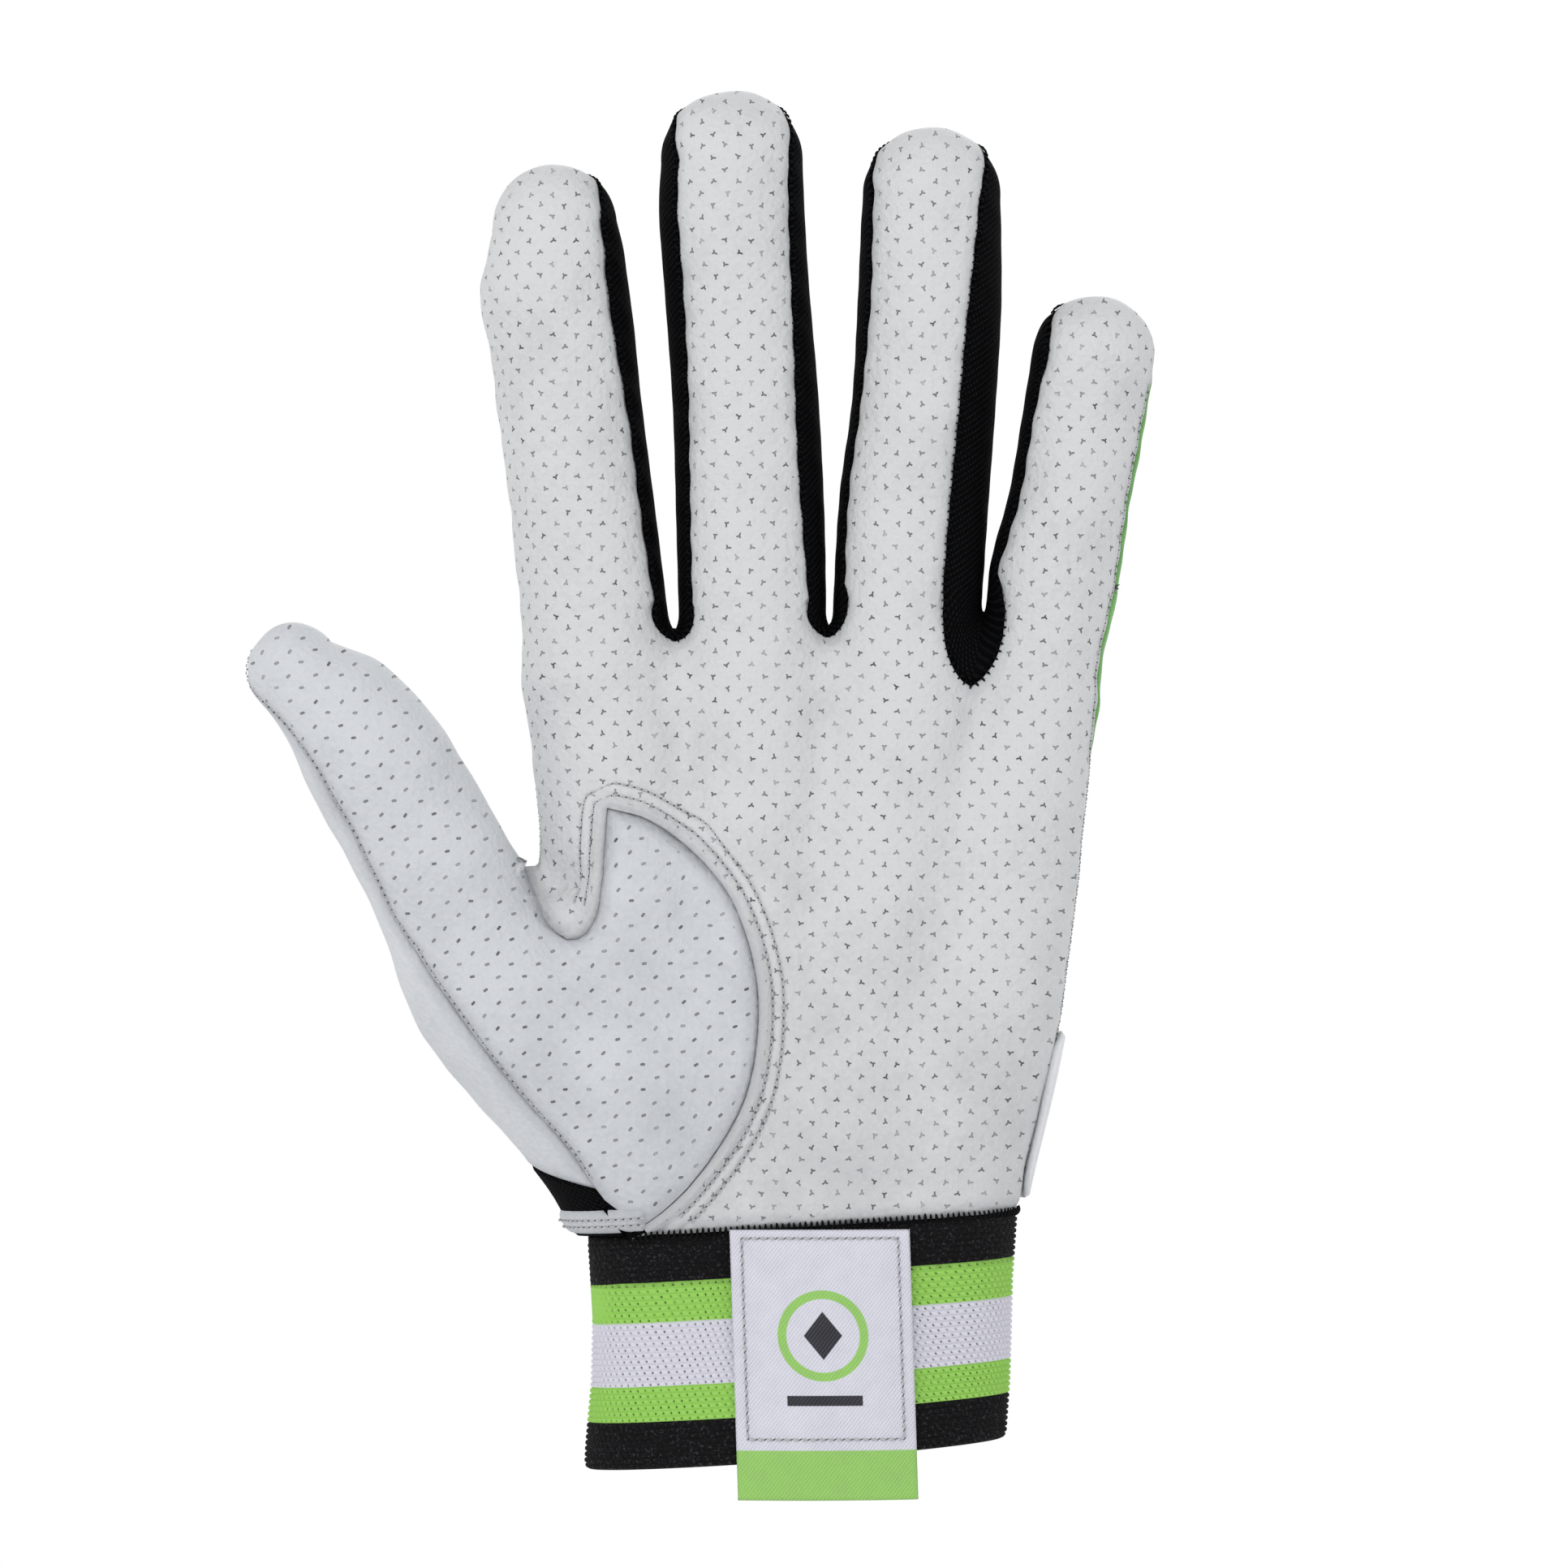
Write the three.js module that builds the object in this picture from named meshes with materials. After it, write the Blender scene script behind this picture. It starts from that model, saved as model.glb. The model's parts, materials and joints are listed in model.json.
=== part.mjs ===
// A left-hand batting glove, filled out as if worn, standing on its cuff.
// Millimetres, +Z up, the palm faces -Y, origin at the centre of the cuff's lower opening.
// One rounded hand form is shared by every panel: a panel is a grid of rays cast from inside
// the hand onto that form, so neighbouring panels follow the same seam line.
import * as THREE from 'three';

// Driving dimensions.
const HAND_LENGTH = 183;
const HAND_BREADTH = 90;
const DEPTH_RATIO = 0.9;
const CUFF_HEIGHT = 38.2;
const CUFF_DEPTH_SHARE = 0.5;
const LEATHER_WALL = 1.2;
const BACK_WALL = 1.2;
const MESH_WALL = 1.2;
const KNIT_WALL = 2.2;
const STRAP_WALL = 1.3;
const STRAP_WIDTH = 27;
const BINDING_WALL = 1.1;
const BINDING_WIDTH = 4.4;
const LABEL_WIDTH = 29;
const LABEL_LENGTH = 43.4;
const LABEL_WALL = 0.8;
const SEAM_GAP = 0.3;
const TUCKED_INSET = 0.34;
const STRAP_CLEARANCE = 0.45;
const WRIST_SLOPE = 0.059;
const CUFF_SLOPE = 0.073;

// How softly the parts of the hand run together, in millimetres.
const BLEND_PALM = 5;
const BLEND_THUMB = 7;
const BLEND_WEB = 3;
const BLEND_FINGER = 3;

// Grid counts.
const FINGER_COLUMNS = 6;
const CROTCH_STEPS = 6;
const FOURCHETTE_COLUMNS = 4;
const UPPER_ROWS = 5;
const NOTCH_ROWS = 3;
const LOWER_ROWS = 4;
const WRIST_ROWS = 3;
const TONGUE_COLUMNS = 3;
const THUMB_COLUMNS = 6;
const THUMB_BACK_COLUMNS = 9;
const LENGTH_STEPS = 5;
const RING_SIDES = 44;

const RADIANS = Math.PI / 180;

// Points on the hand are shares: x of the hand's breadth, z of its length above the wrist.
const spot = (x, z) => [x * HAND_BREADTH, CUFF_HEIGHT + z * HAND_LENGTH];

// Digit rows: share along the chord, sideways shift, depth shift and radius, as shares of
// the hand's breadth. Seam rows: share along, then the angle of the front seam on the left
// and on the right, in degrees round the digit from the palm side.
const DIGITS = {
  index: {
    base: [-0.364, 0.505],
    tip: [-0.441, 0.878],
    rows: [
      [0, 0, 0, 0.1334],
      [0.29, -0.0016, -0.004, 0.1305],
      [0.58, -0.0062, -0.014, 0.1298],
      [0.754, -0.0081, -0.026, 0.132],
      [0.87, -0.0123, -0.037, 0.1334],
      [0.928, -0.0056, -0.044, 0.1254],
      [1, 0, -0.052, 0.1129],
    ],
    seams: [
      [0, -100, 62],
      [0.3, -100, 56],
      [0.52, -100, 56],
      [0.754, -100, 48],
      [1, -100, 50],
    ],
    back: [-100, 125],
    start: 0.1,
  },
  middle: {
    base: [-0.084, 0.512],
    tip: [-0.122, 0.937],
    rows: [
      [0, 0, 0, 0.133],
      [0.239, 0.0047, -0.003, 0.1342],
      [0.495, 0.0057, -0.013, 0.132],
      [0.751, -0.0015, -0.03, 0.1305],
      [0.904, -0.0041, -0.045, 0.1312],
      [1, 0, -0.056, 0.1276],
    ],
    seams: [
      [0, -57, 56],
      [0.24, -56, 46],
      [0.45, -54, 44],
      [0.7, -50, 50],
      [1, -50, 56],
    ],
    back: [-125, 125],
    start: 0.085,
  },
  ring: {
    base: [0.191, 0.512],
    tip: [0.238, 0.906],
    rows: [
      [0, 0, 0, 0.1335],
      [0.3125, 0.0007, -0.006, 0.1349],
      [0.533, 0.0081, -0.016, 0.1298],
      [0.754, 0.0079, -0.03, 0.1298],
      [0.919, 0.0029, -0.045, 0.1268],
      [1, 0, -0.055, 0.1239],
    ],
    seams: [
      [0, -60, 27],
      [0.3, -64, 29],
      [0.53, -64, 30],
      [0.75, -58, 33],
      [1, -61, 45],
    ],
    back: [-125, 125],
    start: 0.12,
  },
  little: {
    base: [0.435, 0.469],
    tip: [0.529, 0.763],
    rows: [
      [0, 0, 0, 0.104],
      [0.123, -0.0057, -0.002, 0.108],
      [0.344, -0.0073, -0.01, 0.1173],
      [0.565, -0.0015, -0.022, 0.11],
      [0.786, 0, -0.037, 0.11],
      [1, 0, -0.055, 0.11],
    ],
    seams: [
      [0, -80, 72],
      [0.27, -69, 72],
      [0.42, -60, 72],
      [0.8, -58, 74],
      [1, -50, 86],
    ],
    back: [-125, 72],
    start: 0.32,
  },
  thumb: {
    base: [-0.286, 0.072],
    tip: [-0.905, 0.486],
    rows: [
      [0, 0, -0.035, 0.1833],
      [0.188, -0.0195, -0.04, 0.1789],
      [0.373, -0.0522, -0.055, 0.1525],
      [0.5956, -0.0035, -0.105, 0.1364],
      [0.795, 0.0202, -0.14, 0.1305],
      [0.921, 0.0243, -0.155, 0.1085],
      [1, 0, -0.16, 0.0836],
    ],
    seams: [
      [0.5, -44, 100],
      [0.586, -53, 100],
      [0.741, -49, 100],
      [0.863, -54, 100],
      [1, -78, 100],
    ],
    back: [-78, 100],
    start: 0.5,
  },
};

// The four bones of the palm, wrist to knuckle, in the same columns.
const BONES = [
  {
    base: [-0.191, -0.06],
    tip: [-0.364, 0.475],
    rows: [[0, 0, 0, 0.1833], [0.5, 0, 0, 0.156], [1, 0, 0, 0.1334]],
  },
  {
    base: [-0.081, -0.06],
    tip: [-0.084, 0.475],
    rows: [[0, 0, 0, 0.1906], [0.5, 0, 0, 0.158], [1, 0, 0, 0.1349]],
  },
  {
    base: [0.051, -0.06],
    tip: [0.191, 0.475],
    rows: [[0, 0, 0, 0.1906], [0.5, 0, 0, 0.158], [1, 0, 0, 0.1364]],
  },
  {
    base: [0.192, -0.06],
    tip: [0.43, 0.452],
    rows: [[0, 0, 0, 0.173], [0.33, 0, 0, 0.157], [0.55, 0, 0, 0.1437], [0.8, -0.0059, 0, 0.1232], [1, 0, 0, 0.106]],
  },
];

// Webs between the fingers: the two ends of a rounded bar, and its radius share.
const WEBS = [
  { from: [-0.36, 0.473], to: [-0.084, 0.473], radius: 0.085 },
  { from: [-0.084, 0.475], to: [0.191, 0.475], radius: 0.085 },
  { from: [0.191, 0.49], to: [0.43, 0.49], radius: 0.082 },
];

// Each crotch: where its front seam is lowest, and how high the crotch itself is.
const CROTCHES = [
  { low: [-0.222, 0.512], top: [-0.223, 0.523] },
  { low: [0.053, 0.516], top: [0.053, 0.527] },
  { low: [0.31, 0.471], top: [0.336, 0.545] },
];

// Seams drawn on the palm side.
const LOBE = [
  [-0.345, 0.364], [-0.271, 0.354], [-0.198, 0.328], [-0.125, 0.285], [-0.081, 0.224],
  [-0.075, 0.166], [-0.098, 0.108], [-0.154, 0.058], [-0.224, 0.018], [-0.308, -0.013],
];
const NOTCH_BOTTOM = [-0.418, 0.249];
const NOTCH_RIGHT = [[-0.418, 0.249], [-0.375, 0.258], [-0.351, 0.3], [-0.345, 0.364]];
const THUMB_SEAM_UPPER = [[-0.689, 0.238], [-0.65, 0.209], [-0.609, 0.18]];
const THUMB_SEAM_LOWER = [[-0.609, 0.18], [-0.521, 0.123], [-0.418, 0.065], [-0.367, 0.029]];
const THUMB_SEAM_END = [[-0.367, 0.029], [-0.335, 0.006], [-0.308, -0.013]];
const BACK_SEAM = [[-0.44, 0.235], [-0.42, 0.19], [-0.385, 0.12], [-0.36, 0.07]];
const WEB_CORE = [-0.432, 0.255];
const WEB_AT = 0.5;
const PALM_SIDE_ANGLE = 95;
const PALM_MIDDLE = 0.355;
const BACK_END = 0.115;

const add = (a, b) => [a[0] + b[0], a[1] + b[1], a[2] + b[2]];
const sub = (a, b) => [a[0] - b[0], a[1] - b[1], a[2] - b[2]];
const scale = (a, s) => [a[0] * s, a[1] * s, a[2] * s];
const dot = (a, b) => a[0] * b[0] + a[1] * b[1] + a[2] * b[2];
const cross = (a, b) => [
  a[1] * b[2] - a[2] * b[1],
  a[2] * b[0] - a[0] * b[2],
  a[0] * b[1] - a[1] * b[0],
];
const unit = (a) => scale(a, 1 / Math.hypot(a[0], a[1], a[2]));
const mix = (a, b, w) => a + (b - a) * w;
const mixVector = (a, b, w) => add(scale(a, 1 - w), scale(b, w));
const clamp = (v, low, high) => Math.min(high, Math.max(low, v));

// Smooth interpolation of a table whose first column is the share along.
function readTable(rows, at) {
  const last = rows.length - 1;
  const value = clamp(at, rows[0][0], rows[last][0]);
  let i = 0;
  while (i < last - 1 && value > rows[i + 1][0]) {
    i += 1;
  }
  const a = rows[i];
  const b = rows[Math.min(i + 1, last)];
  const before = rows[Math.max(i - 1, 0)];
  const after = rows[Math.min(i + 2, last)];
  const span = b[0] - a[0] || 1;
  const w = (value - a[0]) / span;
  return a.slice(1).map((_, k) => {
    const c = k + 1;
    const slopeA = ((b[c] - before[c]) / (b[0] - before[0] || 1)) * span;
    const slopeB = ((after[c] - a[c]) / (after[0] - a[0] || 1)) * span;
    const w2 = w * w;
    const w3 = w2 * w;
    return (2 * w3 - 3 * w2 + 1) * a[c] + (w3 - 2 * w2 + w) * slopeA
      + (3 * w2 - 2 * w3) * b[c] + (w3 - w2) * slopeB;
  });
}

// A rounded limb: a chord with a centre line and a radius that vary along it.
function makeLimb(spec) {
  const base = spot(...spec.base);
  const tip = spot(...spec.tip);
  const length = Math.hypot(tip[0] - base[0], tip[1] - base[1]);
  const along = [(tip[0] - base[0]) / length, 0, (tip[1] - base[1]) / length];
  const side = [along[2], 0, -along[0]];
  const centre = (at) => {
    const [shift, depth] = readTable(spec.rows, at);
    const chord = [base[0] + along[0] * at * length, depth * HAND_BREADTH, base[1] + along[2] * at * length];
    return add(chord, scale(side, shift * HAND_BREADTH));
  };
  const radius = (at) => readTable(spec.rows, at)[2] * HAND_BREADTH;
  const share = (p) => clamp(((p[0] - base[0]) * along[0] + (p[2] - base[1]) * along[2]) / length, 0, 1);
  const distance = (p) => {
    const at = share(p);
    const c = centre(at);
    return Math.hypot(p[0] - c[0], p[1] - c[1], p[2] - c[2]) - radius(at);
  };
  return { ...spec, along, side, length, centre, radius, share, distance };
}

const limbs = {};
for (const [name, spec] of Object.entries(DIGITS)) {
  limbs[name] = makeLimb(spec);
}
const fingers = [limbs.index, limbs.middle, limbs.ring, limbs.little];
const bones = BONES.map(makeLimb);
const webs = WEBS.map(({ from, to, radius }) => makeLimb({
  base: from,
  tip: to,
  rows: [[0, 0, 0, radius], [1, 0, 0, radius]],
}));

function blend(a, b, width) {
  const h = Math.max(width - Math.abs(a - b), 0) / width;
  return Math.min(a, b) - (h * h * width) / 4;
}

// The hand form: negative inside, in a space where it is round; the depth is squeezed later.
function form(p) {
  let palm = bones[0].distance(p);
  for (let i = 1; i < bones.length; i += 1) {
    palm = blend(palm, bones[i].distance(p), BLEND_PALM);
  }
  palm = blend(palm, limbs.thumb.distance(p), BLEND_THUMB);
  for (const web of webs) {
    palm = blend(palm, web.distance(p), BLEND_WEB);
  }
  let finger = fingers[0].distance(p);
  for (let i = 1; i < fingers.length; i += 1) {
    finger = Math.min(finger, fingers[i].distance(p));
  }
  return blend(palm, finger, BLEND_FINGER);
}

// The depth of the middle of the hand over a point of the palm's plane.
function middleDepth(x, z) {
  let total = 0;
  let weights = 0;
  for (const limb of [...bones, limbs.thumb]) {
    const at = limb.share([x, 0, z]);
    const c = limb.centre(at);
    const gap = Math.hypot(x - c[0], z - c[2]) - limb.radius(at);
    const weight = Math.exp(-gap / 4);
    total += weight * c[1];
    weights += weight;
  }
  return total / weights;
}

function castRay(ray) {
  if (ray.hit) {
    return ray.hit;
  }
  let near = 0;
  let far = 0;
  for (let i = 0; i < 200; i += 1) {
    const value = form(add(ray.o, scale(ray.d, far)));
    if (value > 0) {
      break;
    }
    near = far;
    far += Math.max(-value * 0.8, 0.05);
  }
  for (let i = 0; i < 24; i += 1) {
    const half = (near + far) / 2;
    if (form(add(ray.o, scale(ray.d, half))) > 0) {
      far = half;
    } else {
      near = half;
    }
  }
  const round = add(ray.o, scale(ray.d, far));
  const step = 0.35;
  const slope = (axis) => {
    const up = [...round];
    const down = [...round];
    up[axis] += step;
    down[axis] -= step;
    return form(up) - form(down);
  };
  ray.hit = {
    round,
    p: [round[0], round[1] * DEPTH_RATIO, round[2]],
    n: unit([slope(0), slope(1) / DEPTH_RATIO, slope(2)]),
  };
  return ray.hit;
}

const aim = (o, d) => ({ o, d: unit(d) });
const turned = (side, angle) => add(
  [0, -Math.cos(angle * RADIANS), 0],
  scale(side, Math.sin(angle * RADIANS)),
);
const fan = (limb, at, angle) => aim(limb.centre(at), turned(limb.side, angle));

// A ray over a point of the palm's plane: angle 0 looks to the palm side, 180 to the back.
function over(x, z, angle = 0, tilt = 0) {
  const d = turned([1, 0, 0], angle);
  return aim([x, middleDepth(x, z), z], [d[0], d[1], d[0] * tilt]);
}
const overSpot = (point, angle = 0) => over(...spot(...point), angle);
const wristZ = (x) => CUFF_HEIGHT - 0.004 * HAND_LENGTH + x * WRIST_SLOPE;
const overWrist = (x, angle) => over(x, wristZ(x), angle, WRIST_SLOPE);

const mixRay = (a, b, w) => aim(mixVector(a.o, b.o, w), mixVector(a.d, b.d, w));
const steps = (count) => Array.from({ length: count + 1 }, (_, i) => i / count);

// Evenly spaced points on a smooth line through the given ones.
function smoothLine(points, count) {
  const table = points.map((point, i) => [i / (points.length - 1), ...point]);
  const dense = steps(120).map((at) => readTable(table, at));
  const run = [0];
  for (let i = 1; i < dense.length; i += 1) {
    run.push(run[i - 1] + Math.hypot(dense[i][0] - dense[i - 1][0], 2 * (dense[i][1] - dense[i - 1][1])));
  }
  const total = run[run.length - 1];
  return steps(count).map((share) => {
    let i = 1;
    while (i < run.length - 1 && run[i] < share * total) {
      i += 1;
    }
    const w = (share * total - run[i - 1]) / (run[i] - run[i - 1]);
    return [mix(dense[i - 1][0], dense[i][0], w), mix(dense[i - 1][1], dense[i][1], w)];
  });
}

// A patch of rays between four edges; rows run from the first edge to the last. A higher
// reach keeps the pull of the left and right edges closer to them.
function fillPatch(first, last, left, right, reach = 1) {
  const rows = left.length - 1;
  const columns = first.length - 1;
  const part = (key, i, j) => {
    const v = i / rows;
    const w = j / columns;
    const pull = (edge, k) => sub(edge[i][key], mixVector(first[k][key], last[k][key], v));
    return add(
      mixVector(first[j][key], last[j][key], v),
      add(
        scale(pull(left, 0), (1 - w) ** reach),
        scale(pull(right, columns), w ** reach),
      ),
    );
  };
  return left.map((_, i) => first.map((__, j) => {
    if (i === 0) {
      return first[j];
    }
    if (i === rows) {
      return last[j];
    }
    if (j === 0) {
      return left[i];
    }
    if (j === columns) {
      return right[i];
    }
    return aim(part('o', i, j), part('d', i, j));
  }));
}

// Rows of a digit: along its length, then over the tip towards a pole set back from the top.
const TIP_MEET = 0.85;
const TIP_CLOSE = 0.95;
const TIP_ROWS = [0.28, 0.58, TIP_MEET, TIP_CLOSE, 1].map((over) => ({ at: 1, over }));
const digitRows = (limb) => [
  ...steps(LENGTH_STEPS).map((w) => ({ at: mix(limb.start, 1, w), over: 0 })),
  ...TIP_ROWS,
];
const baseRow = (limb) => digitRows(limb)[0];
const POLE_BACK = 25;
const CLOSE_ANGLE = 168;

function digitRay(limb, row, angle) {
  const start = turned(limb.side, angle);
  if (row.over === 0) {
    return fan(limb, row.at, angle);
  }
  const pole = add(
    scale(limb.along, Math.cos(POLE_BACK * RADIANS)),
    [0, Math.sin(POLE_BACK * RADIANS), 0],
  );
  const spread = Math.acos(clamp(dot(start, pole), -1, 1));
  const a = Math.sin((1 - row.over) * spread) / Math.sin(spread);
  const b = Math.sin(row.over * spread) / Math.sin(spread);
  return aim(limb.centre(1), add(scale(start, a), scale(pole, b)));
}

function frontAngle(limb, side, row) {
  const seam = readTable(limb.seams, row.at)[side];
  if (row.over === 0) {
    return seam;
  }
  const meet = limb.back[side];
  if (row.over <= TIP_MEET) {
    return mix(seam, meet, (row.over / TIP_MEET) ** 3);
  }
  const closed = side === 0 ? -CLOSE_ANGLE : CLOSE_ANGLE;
  return mix(meet, closed, clamp((row.over - TIP_MEET) / (TIP_CLOSE - TIP_MEET), 0, 1));
}

function backAngle(limb, side, row) {
  const outer = limb.seams[0][side + 1] === limb.back[side];
  if (row.over > TIP_MEET || outer) {
    return frontAngle(limb, side, row);
  }
  return limb.back[side];
}

const frontRow = (limb, row, columns) => steps(columns).map((w) => digitRay(
  limb,
  row,
  mix(frontAngle(limb, 0, row), frontAngle(limb, 1, row), w),
));
const backRow = (limb, row, columns) => steps(columns).map((w) => digitRay(
  limb,
  row,
  mix(360 + backAngle(limb, 0, row), backAngle(limb, 1, row), w),
));

// Rays of a crotch between two fingers: front edge to back edge for each step round the U.
function crotchRays(left, right, { low, top }) {
  const [x, z] = spot(...low);
  const [topX, topZ] = spot(...top);
  const core = [x, middleDepth(x, z), z];
  return steps(CROTCH_STEPS).slice(1, -1).map((w) => {
    const onLeft = w <= 0.5;
    const a = onLeft ? w * 2 : (1 - w) * 2;
    const limb = onLeft ? left : right;
    const which = onLeft ? 1 : 0;
    const row = baseRow(limb);
    const centre = limb.centre(limb.start);
    const wall = add(centre, scale(limb.side, (onLeft ? 1 : -1) * limb.radius(limb.start)));
    const o = mixVector(centre, core, a);
    const target = mixVector(wall, [topX, core[1], topZ], a);
    const side = unit([target[0] - o[0], 0, target[2] - o[2]]);
    const front = mix(Math.abs(frontAngle(limb, which, row)), 0, a * a);
    const rear = mix(Math.abs(backAngle(limb, which, row)), 180, a);
    return steps(FOURCHETTE_COLUMNS).map((v) => aim(o, turned(side, mix(front, rear, v))));
  });
}
const crotches = CROTCHES.map((low, i) => crotchRays(fingers[i], fingers[i + 1], low));

// Panels and overlays are made of patches of surface points.
const surfacePatch = (rays) => rays.map((row) => row.map(castRay));

function weldPatches(patches) {
  const points = [];
  const normals = [];
  const faces = [];
  const known = new Map();
  const index = (hit) => {
    const key = hit.p.map((v) => Math.round(v * 500)).join();
    if (!known.has(key)) {
      known.set(key, points.length);
      points.push(hit.p);
      normals.push(hit.n);
    }
    return known.get(key);
  };
  for (const patch of patches) {
    const ids = patch.map((row) => row.map(index));
    const own = [];
    let outward = 0;
    for (let i = 1; i < ids.length; i += 1) {
      for (let j = 1; j < ids[i].length; j += 1) {
        const [a, b, c, d] = [ids[i - 1][j - 1], ids[i - 1][j], ids[i][j], ids[i][j - 1]];
        const short = Math.hypot(...sub(points[a], points[c])) <= Math.hypot(...sub(points[b], points[d]));
        const pair = short ? [[a, b, c], [a, c, d]] : [[a, b, d], [b, c, d]];
        for (const face of pair) {
          if (new Set(face).size === 3) {
            own.push(face);
            outward += facing(face, points, normals);
          }
        }
      }
    }
    faces.push(...(outward < 0 ? own.map(([a, b, c]) => [a, c, b]) : own));
  }
  return { points, normals, faces };
}

// Positive when a face's own direction agrees with the hand form's.
function facing([a, b, c], points, normals) {
  const own = cross(sub(points[b], points[a]), sub(points[c], points[a]));
  return dot(own, add(add(normals[a], normals[b]), normals[c]));
}

// Edges with a face on one side only, as a map from each start to its end.
function borderOf(faces) {
  const edges = new Set();
  for (const [a, b, c] of faces) {
    edges.add(`${a},${b}`).add(`${b},${c}`).add(`${c},${a}`);
  }
  const border = new Map();
  for (const edge of edges) {
    const [a, b] = edge.split(',').map(Number);
    if (!edges.has(`${b},${a}`)) {
      border.set(a, b);
    }
  }
  return border;
}

// A closed solid from surface patches: the border is drawn in by half the seam gap, then
// the sheet is given its wall. `stand` lifts the sheet off the hand first.
function makeShell(patches, wall, { inset = SEAM_GAP / 2, stand = 0 } = {}) {
  const { points, normals, faces } = weldPatches(patches);
  const border = borderOf(faces);
  const before = new Map([...border].map(([a, b]) => [b, a]));
  const outer = points.map((p, i) => add(p, scale(normals[i], stand + (stand > 0 ? wall : 0))));
  for (const [id, next] of border) {
    const p = points[id];
    const ahead = unit(sub(points[next], p));
    const behind = unit(sub(p, points[before.get(id)]));
    const inA = unit(cross(normals[id], ahead));
    const inB = unit(cross(normals[id], behind));
    const bisector = unit(add(inA, inB));
    const reach = inset / Math.max(0.45, dot(bisector, inA));
    outer[id] = add(outer[id], scale(bisector, reach));
  }
  const inner = outer.map((p, i) => sub(p, scale(normals[i], wall)));
  const count = points.length;
  const triangles = [];
  for (const [a, b, c] of faces) {
    triangles.push([a, b, c], [a + count, c + count, b + count]);
  }
  const span = (a, b) => Math.hypot(...sub(outer[a], inner[b]));
  for (const [a, b] of border) {
    if (span(a, b) < span(b, a)) {
      triangles.push([a, a + count, b + count], [a, b + count, b]);
    } else {
      triangles.push([a, a + count, b], [b, a + count, b + count]);
    }
  }
  return makeGeometry([...outer, ...inner], triangles);
}

function makeGeometry(points, triangles) {
  const geometry = new THREE.BufferGeometry();
  geometry.setAttribute('position', new THREE.Float32BufferAttribute(points.flat(), 3));
  geometry.setIndex(triangles.flat());
  geometry.computeVertexNormals();
  return geometry;
}

// Seam lines shared by neighbouring panels, as lists of rays.
const webHit = castRay(fan(limbs.thumb, WEB_AT, PALM_SIDE_ANGLE + 5));
const webCore = (() => {
  const [x, z] = spot(...WEB_CORE);
  return [x, middleDepth(x, z), z];
})();
const webRay = { o: webCore, d: unit(sub(webHit.round, webCore)), hit: webHit };
const notchFloor = overSpot(NOTCH_BOTTOM);
const notchLeft = steps(NOTCH_ROWS).map((w) => {
  if (w === 0) {
    return webRay;
  }
  return w === 1 ? notchFloor : mixRay(webRay, notchFloor, w);
});
const notchRight = smoothLine(NOTCH_RIGHT, TONGUE_COLUMNS).map((p) => overSpot(p));
notchRight[0] = notchFloor;

const indexBase = frontRow(limbs.index, baseRow(limbs.index), FINGER_COLUMNS)[0];
const palmLeft = steps(UPPER_ROWS).map((w) => {
  if (w === 0) {
    return indexBase;
  }
  return w === 1 ? webRay : mixRay(indexBase, webRay, w);
});

const littleBone = bones[3];
function sideRay(height, angle) {
  const z = CUFF_HEIGHT + height * HAND_LENGTH;
  const limb = height > DIGITS.little.base[1] ? limbs.little : littleBone;
  const o = limb.centre(limb.share([limb.centre(0.5)[0], 0, z]));
  return aim([o[0], o[1], z], turned([1, 0, 0], angle));
}
const littleBase = frontRow(limbs.little, baseRow(limbs.little), FINGER_COLUMNS)[FINGER_COLUMNS];
const littleStart = mix(DIGITS.little.base[1], DIGITS.little.tip[1], DIGITS.little.start);
const upperCount = UPPER_ROWS + NOTCH_ROWS;
const palmRightUpper = steps(upperCount).map((w) => {
  const height = mix(littleStart, PALM_MIDDLE, w);
  const turn = clamp((0.45 - height) / 0.06, 0, 1);
  const angle = mix(DIGITS.little.seams[0][2], PALM_SIDE_ANGLE, turn);
  return w === 0 ? littleBase : sideRay(height, angle);
});
const palmRightLower = steps(LOWER_ROWS).map((w) => sideRay(mix(PALM_MIDDLE, BACK_END, w), PALM_SIDE_ANGLE));
palmRightLower[0] = palmRightUpper[upperCount];
const wristRightX = littleBone.centre(0.1)[0];
const wristRight = overWrist(wristRightX, PALM_SIDE_ANGLE);
const palmRightWrist = steps(WRIST_ROWS).map((w) => {
  if (w === 0) {
    return palmRightLower[LOWER_ROWS];
  }
  return w === 1 ? wristRight : mixRay(palmRightLower[LOWER_ROWS], wristRight, w);
});

const lobeRays = smoothLine(LOBE, LOWER_ROWS + WRIST_ROWS).map((p) => overSpot(p));
lobeRays[0] = notchRight[TONGUE_COLUMNS];
const wristLeftX = spot(...LOBE[LOBE.length - 1])[0];
const wristLeft = overWrist(wristLeftX, 0);
lobeRays[LOWER_ROWS + WRIST_ROWS] = wristLeft;

const seamUpper = smoothLine(THUMB_SEAM_UPPER, NOTCH_ROWS).map((p) => overSpot(p));
seamUpper[0] = fan(limbs.thumb, WEB_AT, limbs.thumb.seams[0][1]);
const seamLower = smoothLine(THUMB_SEAM_LOWER, LOWER_ROWS).map((p) => overSpot(p));
seamLower[0] = seamUpper[NOTCH_ROWS];
const seamEnd = smoothLine(THUMB_SEAM_END, WRIST_ROWS).map((p) => overSpot(p));
seamEnd[0] = seamLower[LOWER_ROWS];
seamEnd[WRIST_ROWS] = wristLeft;

const backLine = smoothLine(BACK_SEAM, LOWER_ROWS).map((p) => overSpot(p, 180));
const backSeam = [
  ...steps(NOTCH_ROWS).slice(0, -1).map((w) => (w === 0 ? webRay : mixRay(webRay, backLine[0], w))),
  ...backLine,
];

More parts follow.
